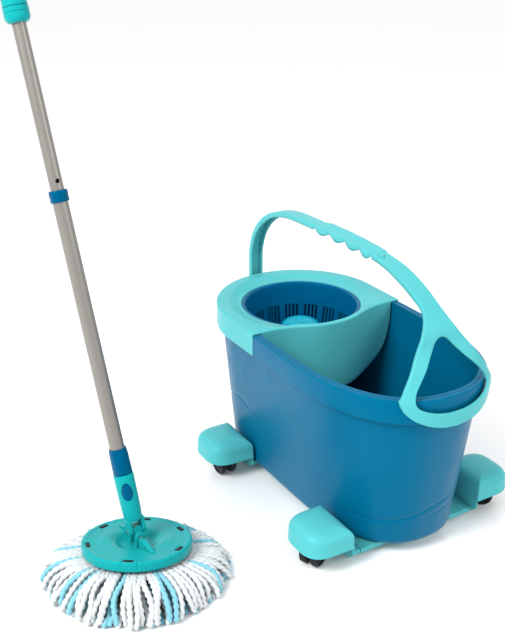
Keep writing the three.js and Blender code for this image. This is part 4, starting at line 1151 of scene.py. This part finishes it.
SLEEVE = on_pole_turned([(0, 78.4), (9.9, 78.4), (9.9, 85.4), (13.8, 85.4), (13.3, 114), (12.2, 123),
                         (10.9, 123), (10.9, 93.4), (0, 93.4)], [0, 1, 0, 1, 2, .8, .4, 0, 0])
LOWER = on_pole_turned([(9.6, 93.8), (10.5, 93.8), (10.5, 486), (9.6, 486)], 0, 72, True)
COLLAR = on_pole_turned([(10.9, 472), (12.2, 472), (12.9, 474), (12.9, 476.5), (12.4, 477), (12.4, 478),
                         (12.9, 478.5), (12.9, 485.5), (12, 488), (9.6, 488), (9.6, 486.6), (10.9, 486.6)],
                        [.2, .5, .5, .2, .2, .2, .2, 1, 1, .2, .2, .2], 72, True)
RING = on_pole_turned([(9.6, 705), (12.5, 705), (16, 708.5), (16.9, 713), (16.9, 717), (16.2, 717.4),
                       (16.2, 718.4), (16.9, 718.8), (16.9, 725), (9.6, 725)],
                      [0, 1, 2, 2, .2, .2, .2, .2, .5, 0], 72, True)
z = np.linspace(725.8, 959.6, 80)
r = np.interp(z, [725, 765, 835, 910, 960], [16.4, 15.8, 14.8, 15.4, 17])
r -= .5 * np.exp(-((z - 742) / 2) ** 2) + .35 * (np.sin(z * .55) ** 8) * (z > 790) * (z < 900)
GRIP = on_pole(turned(np.column_stack([np.append(np.append(9.6, r), 0), np.append(np.append(725.6, z), 960)]), 96))
END = on_pole_turned([(0, 960.4), (17, 960.4), (17, 965), (14, 972), (8, 976), (0, 977)], [0, .6, 3, 4, 4, 0])

wall_z = np.concatenate([np.linspace(252, 492, 24), np.linspace(494.5, 505.5, 12), np.linspace(508, 832, 30)])
spot = np.linspace(0, 2 * np.pi, 32, endpoint=False)
hole = np.column_stack([3 * np.cos(spot), 500 + 3 * np.sin(spot)])
UPPER = on_pole(pierced_wall(np.full(len(wall_z), 9.1), wall_z, hole, 0.0, math.radians(30), (495, 504.8)))

add_piece("pole_sleeve", SLEEVE, MOP_BLUE, "pole", ["pole_sleeve"], sharp=40)
add_piece("lower_tube", LOWER, COATED, "pole", ["lower_tube"])
add_piece("upper_tube", UPPER, COATED, "inner_pole", ["upper_tube"], thickness=.8, sharp=50)
add_piece("tube_collar", COLLAR, MOP_BLUE, "collar", ["tube_collar"])
add_piece("lock_ring", RING, TEAL, "ring", ["lock_ring"])
add_piece("grip", GRIP, TEAL, "grip", ["grip_body"])
add_piece("grip_end_cap", END, MOP_BLUE, "grip", ["grip_end_cap"])

# %% [markdown]
# Small flat or hidden parts, such as pins, hoods, bushes and the frame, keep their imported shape. They
# get the same finishes, and a narrow bevel so that no edge is knife sharp.
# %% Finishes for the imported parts
for name, node in frame["nodes"].items():
    words = {"pin": STEEL, "axle": STEEL, "spindle": STEEL, "rod": STEEL, "nut": STEEL, "hood": BLACK,
             "bush": BLACK, "cross": TEAL, "frame": TURQUOISE, "carrier": MOP_BLUE}
    finish = next((v for k, v in words.items() if k in name.split("_")), None)
    if finish is None:
        continue
    node.data.materials.clear()
    node.data.materials.append(finish)
    soft = node.modifiers.new("edge", "BEVEL")
    soft.width, soft.segments, soft.limit_method = 0.0005, 2, "ANGLE"
print("kept parts finished")

# %% [markdown]
# ## Floor and light
# A pale, faintly glossy floor and a bright surround give soft shadows. A large lamp at the upper left is
# the main light, and a weaker one on the right fills the shadows.
# %% Studio
def flat_sheet(name, half, z, finish):
    mesh = bpy.data.meshes.new(name)
    mesh.from_pydata([(-half, -half, z), (half, -half, z), (half, half, z), (-half, half, z)], [],
                     [(0, 1, 2, 3)])
    mesh.materials.append(finish)
    sheet = bpy.data.objects.new(name, mesh)
    bpy.context.scene.collection.objects.link(sheet)
    return sheet


def lamp(name, place, target, size, power, colour=(1, 1, 1)):
    data = bpy.data.lights.new(name, "AREA")
    data.shape, data.size, data.energy, data.color = "DISK", size, power, colour
    light = bpy.data.objects.new(name, data)
    bpy.context.scene.collection.objects.link(light)
    light.location = place
    direction = mathutils.Vector(target) - mathutils.Vector(place)
    light.rotation_euler = direction.to_track_quat("-Z", "Y").to_euler()
    return light


import mathutils

floor_paint = Paint("pale_floor", Roughness=0.1, Specular_IOR_Level=0.5)
floor_paint.feed("Base Color", floor_paint.mix(floor_paint.noise(3), (.96, .96, .96, 1), (.98, .98, .98, 1)))
flat_sheet("floor", 12, 0.0, floor_paint.material)
world = bpy.data.worlds.new("surround")
bpy.context.scene.world = world
world.use_nodes = True
background = world.node_tree.nodes["Background"]
background.inputs[0].default_value = (1, 1, 1, 1)
background.inputs[1].default_value = 0.97
lamp("key", (0.4, -2.3, 2.4), (0, 0, 0.15), 1.4, 95)
lamp("fill", (2.4, 1.6, 1.8), (0, 0, 0.15), 1.4, 25)
bpy.context.scene.view_settings.view_transform = "Standard"
